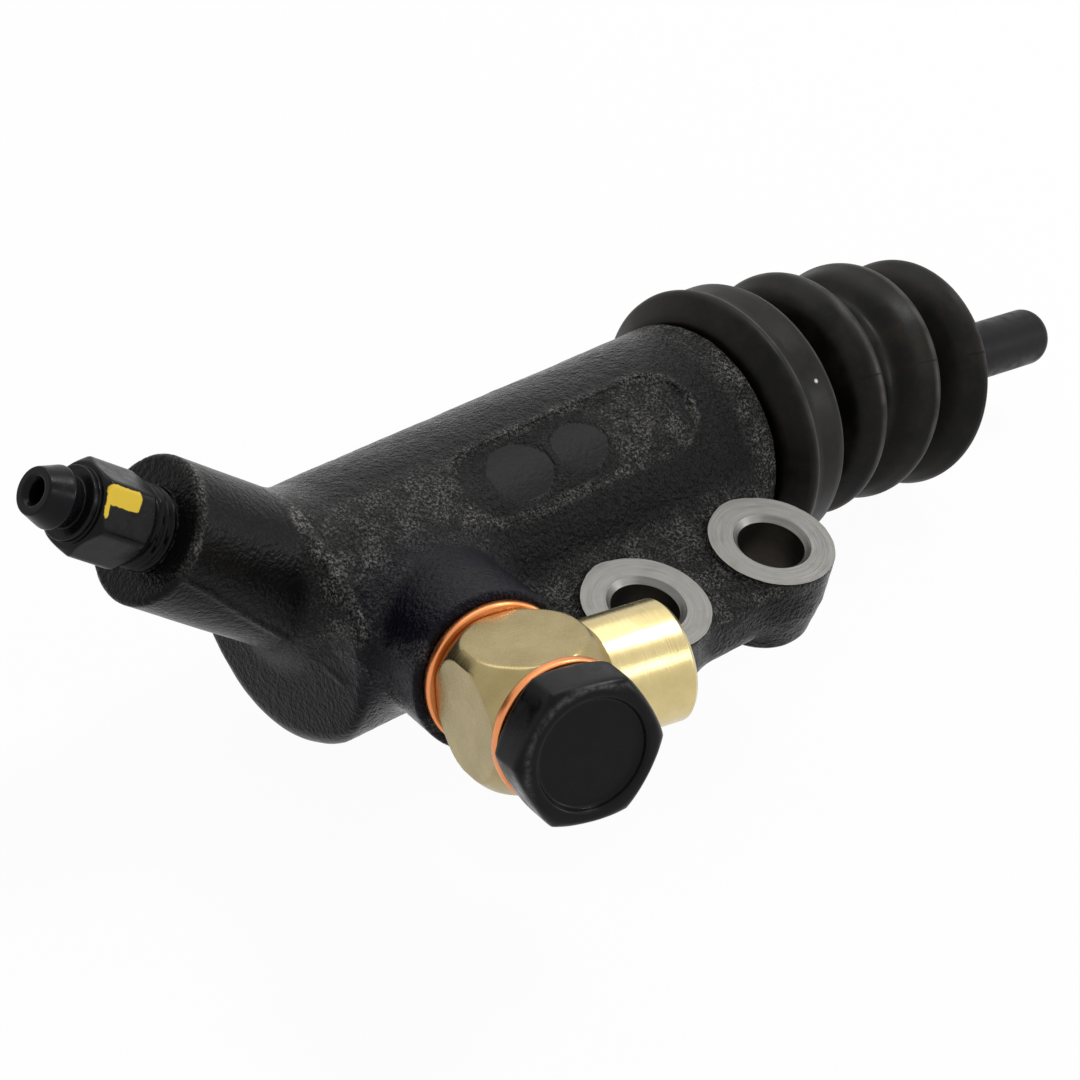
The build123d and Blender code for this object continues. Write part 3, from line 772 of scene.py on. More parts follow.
def web_field(points):
    """Distance to the drafted flange web with its outer edges rounded."""
    corners = [
        (-hole_half_spacing, 0), (hole_half_spacing, 0),
        (hole_half_spacing + web_spread_front, flange_offset),
        (-hole_half_spacing - web_spread_rear, flange_offset),
    ]
    around = corners + corners[:1]
    nearest = distance_to_line(points[..., :2], around)
    inside = np.full(points.shape[:-1], -1e9)
    for start, end in zip(around, around[1:]):
        run = np.subtract(end, start)
        relative = points[..., :2] - start
        side = (relative[..., 0] * run[1] - relative[..., 1] * run[0]) / np.linalg.norm(run)
        inside = np.maximum(inside, side)
    beside = np.where(inside < 0, inside, nearest) - web_overhang
    rise = points[..., 2] + pad_height
    draft = np.where(rise > 0, math.tan(math.radians(upper_draft)), math.tan(math.radians(lower_draft)))
    side = beside + np.abs(rise) * draft
    return soft_most(side, np.maximum(rise - web_height, -web_depth - rise), web_edge)


def lug_field(points, x):
    """Distance to the round lug of the mounting hole at x."""
    beside = np.hypot(points[..., 0] - x, points[..., 1]) - lug_radius
    rise = points[..., 2] + pad_height
    beside = beside + np.maximum(-rise, 0) * math.tan(math.radians(lower_draft))
    return soft_most(beside, np.maximum(rise - pad_height - 0.6, -lug_depth - rise), 0.8)


def recess_coordinates(points):
    """Station, sideways place and height of the points, as seen from over the recess."""
    angle = math.radians(recess_angle)
    normal = np.array((0.0, -math.sin(angle), math.cos(angle)))
    relative = points - bore.origin
    return relative[..., 0], relative @ np.cross(normal, along_bore), relative @ normal


def recess_outline(points):
    """Sideways distance to the outline of the shallow oblong recess, and height above the bore's axis."""
    station, across, rise = recess_coordinates(points)
    half = (recess_length - recess_width) / 2
    beyond = np.maximum(np.abs(station - recess_centre) - half, 0)
    return np.hypot(beyond, across) - recess_width / 2, rise


def recess_field(points):
    """Distance to the shallow oblong recess on the upper side of the barrel."""
    beside, rise = recess_outline(points)
    relative = points - bore.origin
    floor = barrel_radius - recess_depth - np.hypot(relative[..., 1], relative[..., 2])
    return np.maximum(np.maximum(beside, floor), -rise)


def cast_field(points):
    """Distance to the whole casting, before its holes are cut."""
    return cast_fields(points)[0]


def cast_fields(points):
    """Distance to the casting, and how far its inner corners are filled in there."""
    below = held((-pad_height - 5.0 - points[..., 2]) / 7.0)
    end_round = closed_end_round + (closed_end_round_below - closed_end_round) * below
    barrel = round_bar(points, bore, barrel_radius, -closed_end, mouth, end_round)
    front_end = round_bar(points, bore, barrel_radius, -mouth, barrel_length, barrel_end_round)
    barrel = np.maximum(barrel, front_end)
    inlet_boss = round_bar(points, inlet, inlet_boss_radius, 0, inlet_boss_length, boss_edge)
    bleed_boss = round_bar(points, bleed, bleed_boss_radius, 0, bleed_boss_length, boss_edge)
    lugs = np.minimum(lug_field(points, -hole_half_spacing), lug_field(points, hole_half_spacing))
    flange = soft_least(web_field(points), lugs, lug_fillet)
    whole = soft_least(barrel, inlet_boss, inlet_fillet)
    whole = soft_least(whole, bleed_boss, bleed_fillet)
    whole = soft_least(whole, flange, flange_fillet)
    filled = np.minimum(np.minimum(barrel, inlet_boss), np.minimum(bleed_boss, flange)) - whole
    whole = soft_most(whole, -recess_field(points), recess_fillet)
    nose = round_bar(points, bore, nose_radius, 0, mouth, 0.2)
    return np.minimum(whole, nose), filled


def surface_net(field, low, high, step):
    """Quad mesh of the field's zero level: one point in each cell that it passes through."""
    counts = [int(math.ceil((b - a) / step)) + 1 for a, b in zip(low, high)]
    axes = [low[i] + step * np.arange(counts[i]) for i in range(3)]
    values = np.empty(counts, np.float32)
    for index, x in enumerate(axes[0]):
        plane = np.stack(np.meshgrid([x], axes[1], axes[2], indexing="ij"), axis=-1)
        values[index] = field(plane)[0]
    cells = [n - 1 for n in counts]
    total = np.zeros((*cells, 3))
    hits = np.zeros(cells)
    shapes = [slice(0, -1), slice(1, None)]
    for axis in range(3):
        others = [i for i in range(3) if i != axis]
        for offset in np.ndindex(2, 2):
            start, end = [None] * 3, [None] * 3
            start[axis], end[axis] = shapes
            for other, side in zip(others, offset):
                start[other] = end[other] = shapes[side]
            a, b = values[tuple(start)], values[tuple(end)]
            crosses = (a < 0) != (b < 0)
            with np.errstate(divide="ignore", invalid="ignore"):
                share = np.where(crosses, a / (a - b), 0.0)
            total[..., axis] += share
            for other, side in zip(others, offset):
                total[..., other] += np.where(crosses, side, 0)
            hits += crosses
    used = hits > 0
    number = np.full(cells, -1)
    number[used] = np.arange(used.sum())
    base = np.stack(np.nonzero(used), axis=-1)
    points = (base + total[used] / hits[used][:, None]) * step + np.array([axis[0] for axis in axes])
    faces = []
    for axis in range(3):
        b_axis, c_axis = (axis + 1) % 3, (axis + 2) % 3
        start, end = [slice(1, -1)] * 3, [slice(1, -1)] * 3
        start[axis], end[axis] = slice(0, -1), slice(1, None)
        a, b = values[tuple(start)] < 0, values[tuple(end)] < 0
        where = np.stack(np.nonzero(a != b), axis=-1)
        leaves = a[tuple(where.T)]
        shift = np.array([0 if i == axis else 1 for i in range(3)])
        corner = where + shift
        around = []
        for db, dc in ((1, 1), (0, 1), (0, 0), (1, 0)):
            cell = corner.copy()
            cell[:, b_axis] -= db
            cell[:, c_axis] -= dc
            around.append(number[tuple(cell.T)])
        quads = np.stack(around, axis=-1)
        quads[~leaves] = quads[~leaves][:, ::-1]
        faces.append(quads)
    return points, np.concatenate(faces)


def slope(field, points, reach=0.05):
    """Unit outward direction of the field at the points, and its steepness."""
    result = np.empty_like(points)
    for axis in range(3):
        shift = np.zeros(3)
        shift[axis] = reach
        result[:, axis] = (field(points + shift) - field(points - shift)) / (2 * reach)
    steep = np.linalg.norm(result, axis=1)
    return result / np.maximum(steep, 1e-6)[:, None], np.maximum(steep, 0.3)


def cast_form():
    """Points and faces of the casting with its rough skin, how smooth it is, and where blue sheen and glints
    are painted.
    """
    low = (-69.5, -9.5, -23.0)
    high = (33.0, 41.5, 20.5)
    points, faces = surface_net(cast_field, low, high, cast_step)
    for _ in range(3):
        direction, steep = slope(cast_field, points)
        points = points - direction * (cast_field(points) / steep)[:, None]
    direction, _ = slope(cast_field, points)
    relative = points - bore.origin
    smooth_skin = np.zeros(len(points))
    end_face = held((-closed_end + 2.6 - relative[:, 0]) / 1.2)
    inlet_side = round_bar(points, inlet, inlet_boss_radius, 17.0, inlet_boss_length, 0)
    bleed_side = round_bar(points, bleed, bleed_boss_radius, 18.0, bleed_boss_length, 0)
    for side in (inlet_side, bleed_side):
        smooth_skin = np.maximum(smooth_skin, held(1 - (side - 0.3) / 3.0) * 0.55)
    smooth_skin = np.maximum(smooth_skin, end_face * 0.75)
    spots = spot_distance(points)
    smooth_skin = np.maximum(smooth_skin, held(-spots / 0.4) * 0.9)
    nose = relative[:, 0] > barrel_length - 0.1
    smooth_skin[nose] = 1.0
    rough = 1 - smooth_skin
    fine, coarse = (lattice_noise(points, size, seed) for seed, size in enumerate(skin_sizes, 1))
    skin = skin_depths[0] * fine + skin_depths[1] * coarse
    waves = wave_depth * lattice_noise(points, wave_size, 3)
    line = held(1 - distance_to_line(points, parting_line) / parting_half)
    # Where the blue sheen is painted, fading away from the inlet boss's outer part
    painted_blue_sheen = held(1 - (inlet_side - 0.5) / 6.0)
    # Glints are painted along the parting line and over the glint areas, but not on the blank spots or the
    # nose
    painted_sparkle = np.maximum(painted_glint_of(points, relative), line * 0.35) * (1 - held(-spots))
    painted_sparkle = np.where(nose, 0.0, painted_sparkle)
    points = points + direction * (skin * rough + waves * (~nose) + parting_rise * line)[:, None]
    return points, faces, {"finish": smooth_skin, "blue_sheen": painted_blue_sheen, "painted_glint": painted_sparkle}


def near(values, middle, half, fade):
    """One within the half width of the middle, falling to none over the fade."""
    return held((half + fade - np.abs(values - middle)) / fade)


def painted_glint_of(points, relative):
    """Where glints are painted on the raw casting: inner corners, the web, the recess's rim and the barrel's
    ends.
    """
    corners = held(cast_fields(points)[1] / 0.35)
    station = relative[:, 0]
    turn = np.degrees(np.arctan2(-relative[:, 1], relative[:, 2]))
    on_barrel = near(np.hypot(relative[:, 1], relative[:, 2]), barrel_radius, 0.3, 0.5)
    beside, rise = recess_outline(points)
    inside = held(-beside) * (rise > 0)
    patch = near(station, -5.0, 10.0, 5.0) * near(turn, 16.0, 15.0, 9.0) * on_barrel * (1 - 0.7 * inside)
    front = near(station, barrel_length - 2.0, 1.6, 2.2) * on_barrel * near(turn, 30.0, 65.0, 20.0)
    web_top = (points[:, 2] > -pad_height + web_height - 1.2) * (points[:, 1] < flange_offset - 9.0)
    web_top = web_top * (points[:, 2] < -0.2) * 0.8
    rim = near(beside, 0.1, 0.4, 0.6) * (rise > 0)
    marks = inside * near(station, 35.0, 4.5, 3.0)
    end_rim = near(station, -closed_end + 0.5, 0.8, 0.5) * near(turn, end_rim_middle, end_rim_spread, 10.0)
    from_bleed = points - bleed.origin
    u, v, w = from_bleed @ bleed.u, from_bleed @ bleed.v, from_bleed @ bleed.w
    boss_rim = near(np.hypot(u, v), bleed_boss_radius, 0.6, 0.5) * near(w, bleed_boss_length, 0.7, 0.4)
    boss_rim = boss_rim * near(np.degrees(np.arctan2(v, u)), bleed_rim_middle, bleed_rim_spread, 15.0)
    parts = (corners * 0.4, patch * 0.9, front, web_top, rim, marks * 0.9, end_rim * 1.6, boss_rim * 1.2)
    return np.max(np.stack(parts), axis=0)


def spot_distance(points):
    """Distance to the two blank round spots in the recess, along the surface."""
    station, across, rise = recess_coordinates(points)
    best = np.full(len(points), 1e9)
    for middle, half_length, half_width in blank_spots:
        share = np.hypot((station - middle) / half_length, across / half_width)
        best = np.minimum(best, np.where(rise > 0, (share - 1) * half_width, 1e9))
    return best


painted_slot, machined_slot, drilled_slot, honed_slot = range(4)


def ring_outline(start, end, inner, outer):
    """Closed outline of a plain ring, as (station, radius)."""
    return [(start, inner), (end, inner), (end, outer), (start, outer), (start, inner)]


def hole_tool(x):
    """Solid of a mounting hole with its countersink and the spot face above it."""
    place = Place((x, 0, 0), (0, 0, 1), (1, 0, 0))
    wall = [(-22, 0), (-22, hole_radius), (-hole_chamfer, hole_radius)]
    face = [(0, hole_radius + hole_chamfer), (0, spotface_radius), (14, spotface_radius), (14, 0)]
    points, faces = turned(place, wall + face)
    drilled_faces = 2 * 96
    slots = [drilled_slot] * drilled_faces + [machined_slot] * (len(faces) - drilled_faces)
    return points, faces, slots


def cutter(place, path, slot, segments=96):
    """Turned tool that leaves one material on what it cuts."""
    points, faces = turned(place, path, segments)
    return points, faces, [slot] * len(faces)


def cylinder_body():
    """The casting with its holes, bore, ports and the groove for the boot's lip."""
    points, faces, skin = cast_form()
    slots = (paint, machined, drilled, honed)
    body = make_object("cylinder_casting", points, faces, slots)
    for name, values in skin.items():
        point_attribute(body, name, values)
    bore_path = [
        (-bore_bottom, 0), (-bore_bottom, bore_radius), (mouth - mouth_chamfer, bore_radius),
        (mouth + 1, bore_radius + mouth_chamfer * 2), (mouth + 1, 0),
    ]
    groove_path = ring_outline(*nose_groove, nose_groove_radius, nose_radius + 2)
    tools = [
        hole_tool(-hole_half_spacing), hole_tool(hole_half_spacing),
        cutter(bore, bore_path, honed_slot), cutter(bore, groove_path, painted_slot),
    ]
    carve(body, tool_object("bore_tool", tools, slots))
    inlet_end = inlet_boss_length + 2
    inlet_path = [
        (0, 0), (0, inlet_passage_radius), (inlet_port_bottom, inlet_passage_radius),
        (inlet_port_bottom, inlet_port_radius), (inlet_end, inlet_port_radius), (inlet_end, 0),
    ]
    bleed_end = bleed_boss_length + 2
    bleed_path = [
        (0, 0), (0, bleed_passage_radius), (bleed_seat, bleed_passage_radius),
        (bleed_seat + bleed_port_radius - bleed_passage_radius, bleed_port_radius),
        (bleed_end, bleed_port_radius), (bleed_end, 0),
    ]
    ports = [cutter(inlet, inlet_path, honed_slot, 64), cutter(bleed, bleed_path, honed_slot, 64)]
    carve(body, tool_object("port_tool", ports, slots))
    smooth(body, 40.0)
    part_materials(body.data)
    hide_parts("cylinder_body")
    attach(body, "cylinder")


def part_materials(mesh):
    """Marks each edge between two materials as sharp."""
    polygons = mesh.polygons
    slot_of = np.empty(len(polygons), np.int32)
    corners = np.empty(len(polygons), np.int32)
    edge_of = np.empty(len(mesh.loops), np.int32)
    sharp = np.empty(len(mesh.edges), bool)
    polygons.foreach_get("material_index", slot_of)
    polygons.foreach_get("loop_total", corners)
    mesh.loops.foreach_get("edge_index", edge_of)
    mesh.edges.foreach_get("use_edge_sharp", sharp)
    slot_of = np.repeat(slot_of, corners)
    least = np.full(len(sharp), 99)
    most = np.full(len(sharp), -1)
    np.minimum.at(least, edge_of, slot_of)
    np.maximum.at(most, edge_of, slot_of)
    mesh.edges.foreach_set("use_edge_sharp", sharp | (least != most))


def tool_object(name, forms, slots):
    """One object from several solids, each with its points, faces and material slots."""
    points, faces, face_slots = [], [], []
    for form_points, form_faces, form_slots in forms:
        start = len(points)
        points.extend(form_points)
        faces.extend(tuple(index + start for index in face) for face in form_faces)
        face_slots.extend(form_slots)
    return make_object(name, points, faces, slots, face_slots)


# Turned and forged pieces
def point_attribute(made, name, values):
    layer = made.data.attributes.new(name, "FLOAT", "POINT")
    layer.data.foreach_set("value", np.asarray(values, np.float32))


def worn_rim(made, place, radius, end, middle, spread):
    """Marks the points of the end face's rim over a stretch of its round, where the finish is worn."""
    count = len(made.data.vertices)
    co = np.empty(count * 3, np.float32)
    made.data.vertices.foreach_get("co", co)
    relative = co.reshape(-1, 3) / mm - place.origin
    u, v, w = relative @ place.u, relative @ place.v, relative @ place.w
    rim = held(1 - np.abs(np.hypot(u, v) - radius) / 0.5) * held(1 - np.abs(w - end) / 0.6)
    away = np.abs((np.degrees(np.arctan2(v, u)) - middle + 180) % 360 - 180)
    point_attribute(made, "edge", rim * held((spread - away) / 12))


def union_bolt():
    """Hollow bolt with a recessed hexagon head."""
    corner = bolt_half_flats / math.cos(math.pi / 6) - bolt_corner_wear
    fall = (corner - bolt_face_radius) * math.tan(math.radians(bolt_chamfer_angle))
    end = bolt_seat + bolt_head
    path = [
        (union_start + 6, 0), (union_start + 6, bolt_bore_radius), (bolt_tip, bolt_bore_radius),
        (bolt_tip, bolt_shank_radius), (bolt_seat, bolt_shank_radius), (bolt_seat, bolt_half_flats * 0.97),
        (bolt_seat + 0.7, corner), (end - fall, corner), (end, bolt_face_radius),
        (end, bolt_recess_radius + 0.12), (end - bolt_recess_depth, bolt_recess_radius - 0.12),
        (end - bolt_recess_depth, 0),
    ]
    path = refined(rounded(path, 0.75, 5), 0.4)
    points, faces = turned(inlet, path, 180, 6, bolt_half_flats, bolt_turn, 1.7)
    made = make_object("union_bolt_detail", points, faces, (bolt_steel,), sharp_angle=60)
    worn_rim(made, inlet, bolt_face_radius, end, bolt_wear_middle, bolt_wear_spread)
    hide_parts("union_bolt")
    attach(made, "cylinder")


def gasket(name, node, start, radius):
    """Copper crush washer on the inlet axis."""
    path = ring_outline(start, start + gasket_thickness, union_bore, radius)
    points, faces = turned(inlet, rounded(path, 0.32), 128)
    made = make_object(name, points, faces, (copper_metal,), sharp_angle=50)
    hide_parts(node)
    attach(made, "cylinder")


def pipe_union():
    """Brass block with four flats, and the spigot that takes the pipe."""
    chamfer_end = union_start + union_chamfer
    chamfer_start = union_end - union_chamfer
    path = [
        (union_start, union_bore), (union_start, union_face_radius), (chamfer_end, union_turned_radius),
        (chamfer_start, union_turned_radius), (union_end, union_face_radius), (union_end, union_bore),
        (union_start, union_bore),
    ]
    path = refined(rounded(path, 2.6, 8), 0.3)
    points, faces = turned(inlet, path, 240, 4, union_half_flats, 0.0, 0.1)
    # The block takes the brass painted darker as shade, the spigot the brass painted lighter as lit
    block = make_object("pipe_union_detail", points, faces, (shaded_brass_block, lit_brass_spigot), sharp_angle=30)
    path = [
        (union_bore + 0.6, 0), (union_bore + 0.6, spigot_radius),
        (spigot_length - spigot_chamfer, spigot_radius), (spigot_length, spigot_radius - spigot_chamfer),
        (spigot_length, pipe_radius), (spigot_length - pipe_depth, pipe_radius),
        (spigot_length - pipe_depth - pipe_radius + pipe_seat_radius, pipe_seat_radius),
        (union_bore + 0.9, pipe_seat_radius), (union_bore + 0.9, 0),
    ]
    points, faces = turned(spigot, rounded(path, 0.12), 128)
    tube = make_object("spigot_tool", points, faces, (shaded_brass_block, lit_brass_spigot), [1] * len(faces), 30)
    carve(block, tube, "UNION")
    smooth(block, 30.0)
    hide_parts("pipe_union")
    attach(block, "cylinder")


def bleed_screw():
    """Hollow screw with its thread, hexagon, collar, neck and hose nipple."""
    tip = bleed_seat + 0.04
    hex_end = hex_start + hex_length
    corner = hex_half_flats / math.cos(math.pi / 6)
    collar_end = hex_end + collar_length
    neck_end = collar_end + neck_length
    barb_top = neck_end + barb_rise
    end = barb_top + nipple_length
    cone_end = tip + screw_radius - screw_tip_radius
    path = [
        (cone_end + 2, 0), (cone_end + 2, screw_bore), (end - 0.7, screw_bore),
        (end, screw_bore + mouth_sink), (end, nipple_radius), (barb_top, barb_radius),
        (neck_end, neck_radius), (collar_end, neck_radius), (collar_end, collar_radius),
        (hex_end, collar_radius), (hex_end, hex_half_flats * 0.98), (hex_end - hex_fall, corner),
        (hex_start + hex_fall, corner), (hex_start, hex_half_flats * 0.98), (hex_start, screw_radius),
        (cone_end, screw_radius), (tip, screw_tip_radius), (tip, 0),
    ]
    path = refined(rounded(path, 0.18), 0.12)[::-1]
    thread = (cone_end, hex_start, thread_pitch, thread_depth)
    points, faces = turned(bleed, path, 96, 6, hex_half_flats, hex_turn, 0.25, thread)
    made = make_object("bleed_screw_detail", points, faces, (bleed_steel,), sharp_angle=50)
    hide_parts("bleed_screw")
    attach(made, "bleeder")


def pushrod():
    """Rod with its ball end in the piston, the boot's groove and the rounded free end."""
    low, high = rod_groove
    quarter = [math.radians(90 * step / 12) for step in range(13)]
    path = [(-rod_radius * math.cos(angle), rod_radius * math.sin(angle)) for angle in quarter]
    path += [(low, rod_radius), (low, rod_groove_radius), (high, rod_groove_radius), (high, rod_radius)]
    for angle in quarter:
        along = rod_length - rod_tip + rod_tip * math.sin(angle)
        path.append((along, rod_radius - rod_tip + rod_tip * math.cos(angle)))
    path.append((rod_length, 0))
    points, faces = turned(rod, path, 96)
    made = make_object("pushrod_detail", points, faces, (rod_steel,), sharp_angle=40)
    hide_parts("pushrod")
    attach(made, "pushrod")


def return_spring():
    """Tapered coil between the bottom of the bore and the piston."""
    per_coil, sides = 40, 10
    total = per_coil * spring_coils
    wire = spring_wire / 2
    around = np.arange(sides) * 2 * math.pi / sides
    first, last = spring_start + wire, spring_end - wire
    rings = []
    for step in range(total + 1):
        share = step / total
        angle = 2 * math.pi * step / per_coil
        radius = spring_radii[0] + (spring_radii[1] - spring_radii[0]) * share
        outward = math.cos(angle) * bore.u + math.sin(angle) * bore.v
        onward = -math.sin(angle) * bore.u + math.cos(angle) * bore.v
        rise = unit(bore.w * radius - onward * (last - first) / (2 * math.pi * spring_coils))
        middle = bore.at(first + (last - first) * share) + outward * radius
        rings.append(middle + wire * (np.cos(around)[:, None] * outward + np.sin(around)[:, None] * rise))
    faces = [tuple(range(sides))[::-1], tuple(range(total * sides, (total + 1) * sides))]
    for row in range(total):
        for k in range(sides):
            n = (k + 1) % sides
            low, high = row * sides, (row + 1) * sides
            faces.append((low + k, low + n, high + n, high + k))
    made = make_object("return_spring_detail", np.concatenate(rings), faces, (spring_steel,), sharp_angle=60)
    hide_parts("return_spring")
    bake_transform(made)


# Dust boot
def boot_line(distance):
    """Origin and direction of the boot's centre line at a distance along it."""
    last_fold = boot_folds[-1][0]
    if distance <= last_fold:
        return boot_bend(distance)
    neck_at = rod.at(boot_neck)
    origin, direction = boot_bend(last_fold)
    t = min((distance - last_fold) / (neck_distance() - last_fold), 1.0)
    t = t * t * (3 - 2 * t)
    way = unit(direction * (1 - t) + rod.w * t)
    past = max(distance - neck_distance(), 0)
    return origin * (1 - t) + neck_at * t + rod.w * past, way


def neck_distance():
    """Where the boot's neck begins, along the boot's centre line."""
    last_fold = boot_folds[-1][0]
    return last_fold + float(np.linalg.norm(rod.at(boot_neck) - boot_bend(last_fold)[0]))


def boot_bend(distance):
    """Origin and direction of the centre line where it follows the bore and then bends down."""
    bent = min(max(distance - boot_bend_start, 0), boot_bend_length)
    straight = max(distance - boot_bend_start - boot_bend_length, 0)
    angle = boot_bend_angle * bent / boot_bend_length
    radius = boot_bend_length / math.radians(boot_bend_angle)
    forward = radius * math.sin(math.radians(angle))
    down = radius * (1 - math.cos(math.radians(angle)))
    lead = min(distance, boot_bend_start)
    origin = bore_start + along_bore * (lead + forward) + sag * down + drooped(angle) * straight
    return origin, drooped(angle)


def fold_path():
    """Outer profile of the boot: lip, collar, folds and neck, as (distance, radius)."""
    path = [(boot_start + station, radius) for station, radius in boot_collar]
    corners = [path[-1]]
    before = path[-1][0]
    for (station, radius), low in zip(boot_folds, boot_valleys):
        valley = (before + station) / 2
        height = radius - low
        corners += [
            (before + 1.2, corners[-1][1] - 1.9), (valley - 0.9, low), (valley + 0.5, low),
            (station - 2.9, radius - height * 0.33), (station - 0.8, radius - 0.3), (station + 0.1, radius),
            (station + 0.75, radius - 0.15), (station + 1.1, radius - 0.9),
        ]
        before = station + 1.1
    neck = neck_distance()
    corners += [
        (before + 1.6, boot_folds[-1][1] - 2.2), (neck - 2.5, boot_neck_radius + 0.4),
        (neck, boot_neck_radius), (neck + boot_neck_length, boot_neck_radius - 0.2),
    ]
    path = path[:-1] + refined(rounded(corners, 1.1, 5), 0.7)
    path.append((neck + boot_neck_length, boot_grip_radius))
    return path


def boot_point_rings(path, segments):
    """Rings of points round the boot, the first point of each on the mould's seam."""
    angles = math.radians(boot_seam_angle) + np.arange(segments) * 2 * math.pi / segments
    rings = []
    for distance, radius in path:
        origin, way = boot_line(distance)
        down = np.cross(way, sideways)
        around = np.cos(angles)[:, None] * sideways + np.sin(angles)[:, None] * down
        rings.append(origin + radius * around)
    return np.array(rings)


def dust_boot():
    """Bellows in two pieces that meet at the middle fold's crest."""
    segments = 160
    outer = fold_path()
    neck = neck_distance()
    free = [(x, radius) for x, radius in outer if boot_wall_start < x < neck]
    inner = [(x, max(radius - boot_wall, boot_grip_radius)) for x, radius in free]
    grip = [(neck, boot_grip_radius), (neck + boot_neck_length, boot_grip_radius)]
    entry = [(boot_start, nose_radius + 0.1), (boot_seat_end, nose_radius + 0.1)]
    split = boot_folds[1][0]
    inner_path = entry + inner + grip
    loop = np.concatenate([boot_point_rings(outer, segments), boot_point_rings(inner_path, segments)[::-1]])
    stations = [x for x, _ in outer] + [x for x, _ in inner_path[::-1]]
    steps = np.minimum(np.arange(segments), segments - np.arange(segments))
    crests = [boot_start + 6.5] + [station for station, _ in boot_folds]
    reach = np.array([min(abs(x - crest) for crest in crests) for x in stations])
    apart = 2 * math.pi * boot_seam_radius / segments
    off_seam = steps[None, :] * apart + np.clip(reach - 2.2, 0, 5)[:, None]
    marks = {"off_seam": off_seam.ravel()}
    radii = np.array([radius for _, radius in outer] + [0.0] * len(inner_path))
    edges = [boot_start + 3.4, boot_start + 9.2] + [station for station, _ in boot_folds]
    past = np.array([min(abs(x - edge) for edge in edges) for x in stations])
    # Crest edges take a painted highlight, and the flanks' outer part a painted sheen
    marks["crest"] = np.repeat(held(1 - past / 0.5) * (radii > 15.0), segments)
    off_edge = held((past - 0.4) / 0.8)
    marks["flank_sheen"] = np.repeat(held((radii - 11.0) / 2.0) * off_edge, segments)
    total = len(loop)
    points = loop.reshape(-1, 3)
    faces, front = [], []
    for row in range(total):
        nxt = (row + 1) % total
        for k in range(segments):
            n = (k + 1) % segments
            faces.append((row * segments + k, nxt * segments + k, nxt * segments + n, row * segments + n))
            front.append(max(stations[row], stations[nxt]) <= split + 1e-6)
    whole = make_object("boot_whole", points, faces, (boot_rubber,), sharp_angle=60)
    normals = np.array([vertex.normal for vertex in whole.data.vertices])
    bpy.data.objects.remove(whole)
    front = np.array(front)
    for name, keep, bodies, span in (
        ("boot_front", front, ("cylinder", "piston"), (boot_start + 4.0, split)),
        ("boot_rear", ~front, ("piston", "pushrod"), (split, neck)),
    ):
        chosen = [face for face, use in zip(faces, keep) if use]
        used = sorted({index for face in chosen for index in face})
        renumber = {old: new for new, old in enumerate(used)}
        piece_faces = [tuple(renumber[index] for index in face) for face in chosen]
        piece = make_object(name, points[used], piece_faces, (boot_rubber,), sharp_angle=180)
        piece.data.normals_split_custom_set_from_vertices(normals[used].tolist())
        for mark, values in marks.items():
            point_attribute(piece, mark, values[used])
        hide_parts("dust_boot")
        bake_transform(piece)


def hidden_nodes():
    """Materials of the inner pieces that stay as they come from the frame."""
    inner = {
        "piston": piston_alloy, "piston_cup": seal_rubber, "rear_seal": seal_rubber,
        "valve_plate": spring_steel, "valve_spring": spring_steel,
    }
    for node, material in inner.items():
        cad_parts[node].data.materials.clear()
        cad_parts[node].data.materials.append(material)


# Stage, light and camera
def camera():
    """Camera as it was fitted to the photograph."""
    data = bpy.data.cameras.new("camera")
    data.lens = camera_lens
    data.sensor_width = 36.0
    made = in_scene("camera", data)
    turn = Matrix.Rotation(math.radians(-camera_azimuth), 3, "Z")
    lean = Matrix.Rotation(math.radians(90 - camera_fall), 3, "X")
    roll = Matrix.Rotation(math.radians(camera_roll), 3, "Z")
    made.matrix_world = Matrix.Translation(camera_place) @ (turn @ lean @ roll).to_4x4()
    bpy.context.scene.camera = made
    return made


def area_light(name, view, right, up, back, size, power, aim=(0.0, 0.012, -0.006)):
    """Soft light placed right of, above and nearer than the object, as the camera sees it."""
    data = bpy.data.lights.new(name, "AREA")
    data.shape = "RECTANGLE"
    data.size, data.size_y = size
    data.energy = power
    made = in_scene(name, data)
    axes = view.matrix_world.to_3x3()
    place = Vector(aim) + axes @ Vector((right, up, back))
    made.location = place
    made.rotation_euler = (place - Vector(aim)).to_track_quat("Z", "Y").to_euler()


def seen_directly(tree):
    """One for what the camera sees itself, in a reflection or through glass, and none for light."""
    path = add_node(tree, "LightPath")
    reflected = calc(tree, "MAXIMUM", path.outputs["Is Glossy Ray"], path.outputs["Is Transmission Ray"])
    return calc(tree, "MAXIMUM", path.outputs["Is Camera Ray"], reflected)


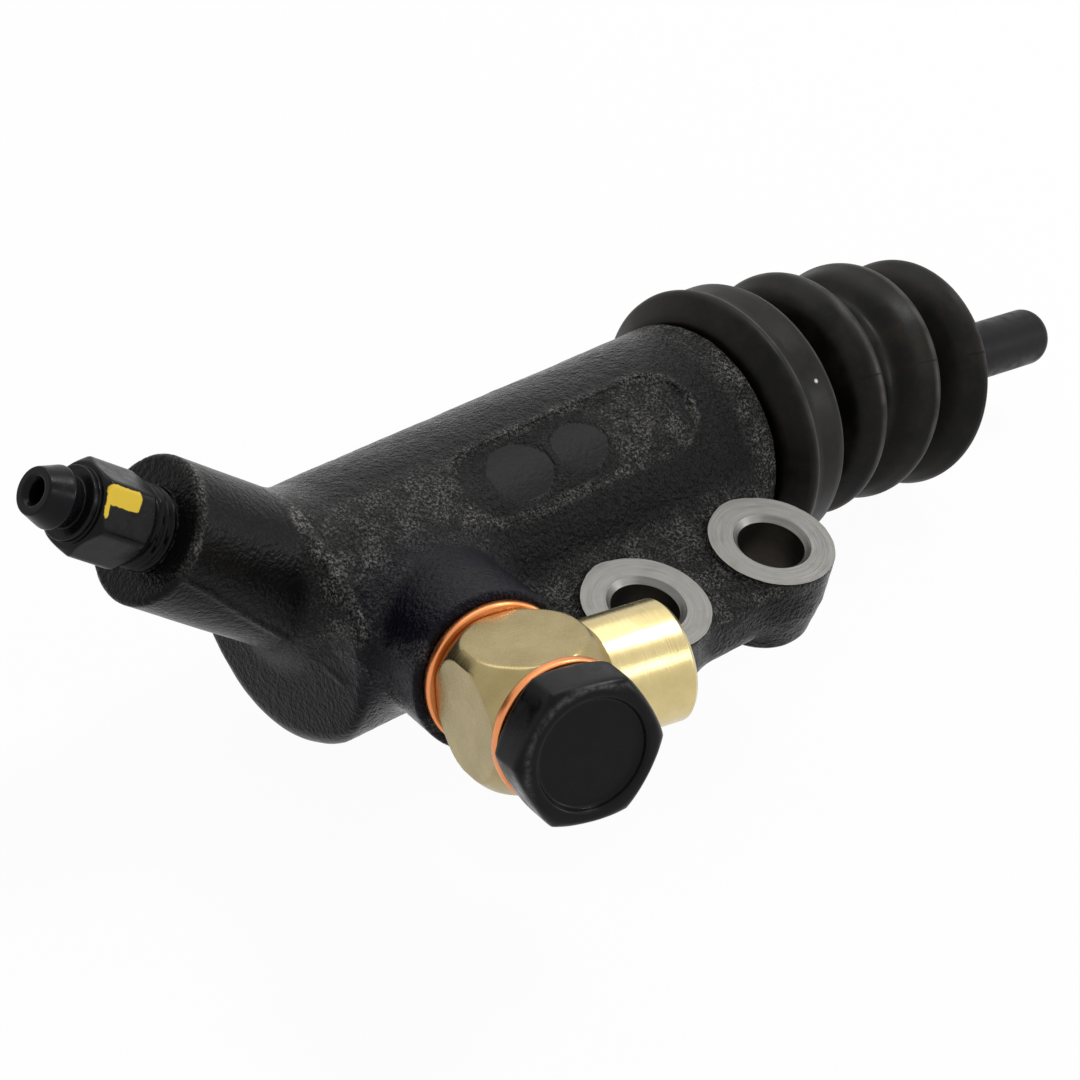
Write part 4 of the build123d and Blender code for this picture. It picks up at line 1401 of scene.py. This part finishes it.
# Each lamp: how far right, up and towards the camera it stands in metres, its two sides and its power
lamps = (
    ("key", 0.32, 0.58, 0.17, (0.18, 0.18), 1.9),
    ("right", 0.72, 0.16, 0.12, (0.20, 0.25), 1.1),
    ("side", 0.50, 0.12, 0.44, (0.10, 0.16), 0.3),
    ("top", -0.10, 0.60, 0.05, (0.5, 0.4), 1.0),
)
floor_gap = 0.0004
floor_whiteness = 0.96
world_strength = 0.25


def studio(view):
    """Pale floor that keeps a soft shadow, white surroundings and soft lights."""
    floor_mesh = bpy.data.meshes.new("floor")
    reach = 3.0
    z = cad_box[0].z - floor_gap
    corners = [(-reach, -reach, z), (reach, -reach, z), (reach, reach, z), (-reach, reach, z)]
    floor_mesh.from_pydata(corners, [], [(0, 1, 2, 3)])
    floor = in_scene("floor", floor_mesh)
    material = bpy.data.materials.new("floor")
    material.use_nodes = True
    tree = material.node_tree
    tree.nodes.clear()
    diffuse = add_node(tree, "BsdfDiffuse", None, Color=(0.9, 0.9, 0.9, 1))
    white = add_node(tree, "Emission", None, Color=(1, 1, 1, 1), Strength=1.0)
    share = times(tree, seen_directly(tree), floor_whiteness)
    mix = add_node(tree, "MixShader", None, i0=share, i1=diffuse.outputs[0], i2=white.outputs[0])
    output = add_node(tree, "OutputMaterial")
    tree.links.new(mix.outputs[0], output.inputs["Surface"])
    floor_mesh.materials.append(material)
    world = bpy.data.worlds.new("studio")
    world.use_nodes = True
    tree = world.node_tree
    tree.nodes.clear()
    strength = calc(tree, "MAXIMUM", seen_directly(tree), world_strength)
    background = add_node(tree, "Background", None, Color=(1, 1, 1, 1), Strength=strength)
    output = add_node(tree, "OutputWorld")
    tree.links.new(background.outputs[0], output.inputs["Surface"])
    bpy.context.scene.world = world
    for name, *lamp in lamps:
        area_light(name, view, *lamp)
    bpy.context.scene.view_settings.view_transform = "Standard"


cylinder_body()
union_bolt()
gasket("inner_gasket_detail", "inner_gasket", inlet_boss_length, 8.9)
gasket("outer_gasket_detail", "outer_gasket", union_end, 8.6)
pipe_union()
bleed_screw()
pushrod()
return_spring()
dust_boot()
hidden_nodes()
studio(camera())
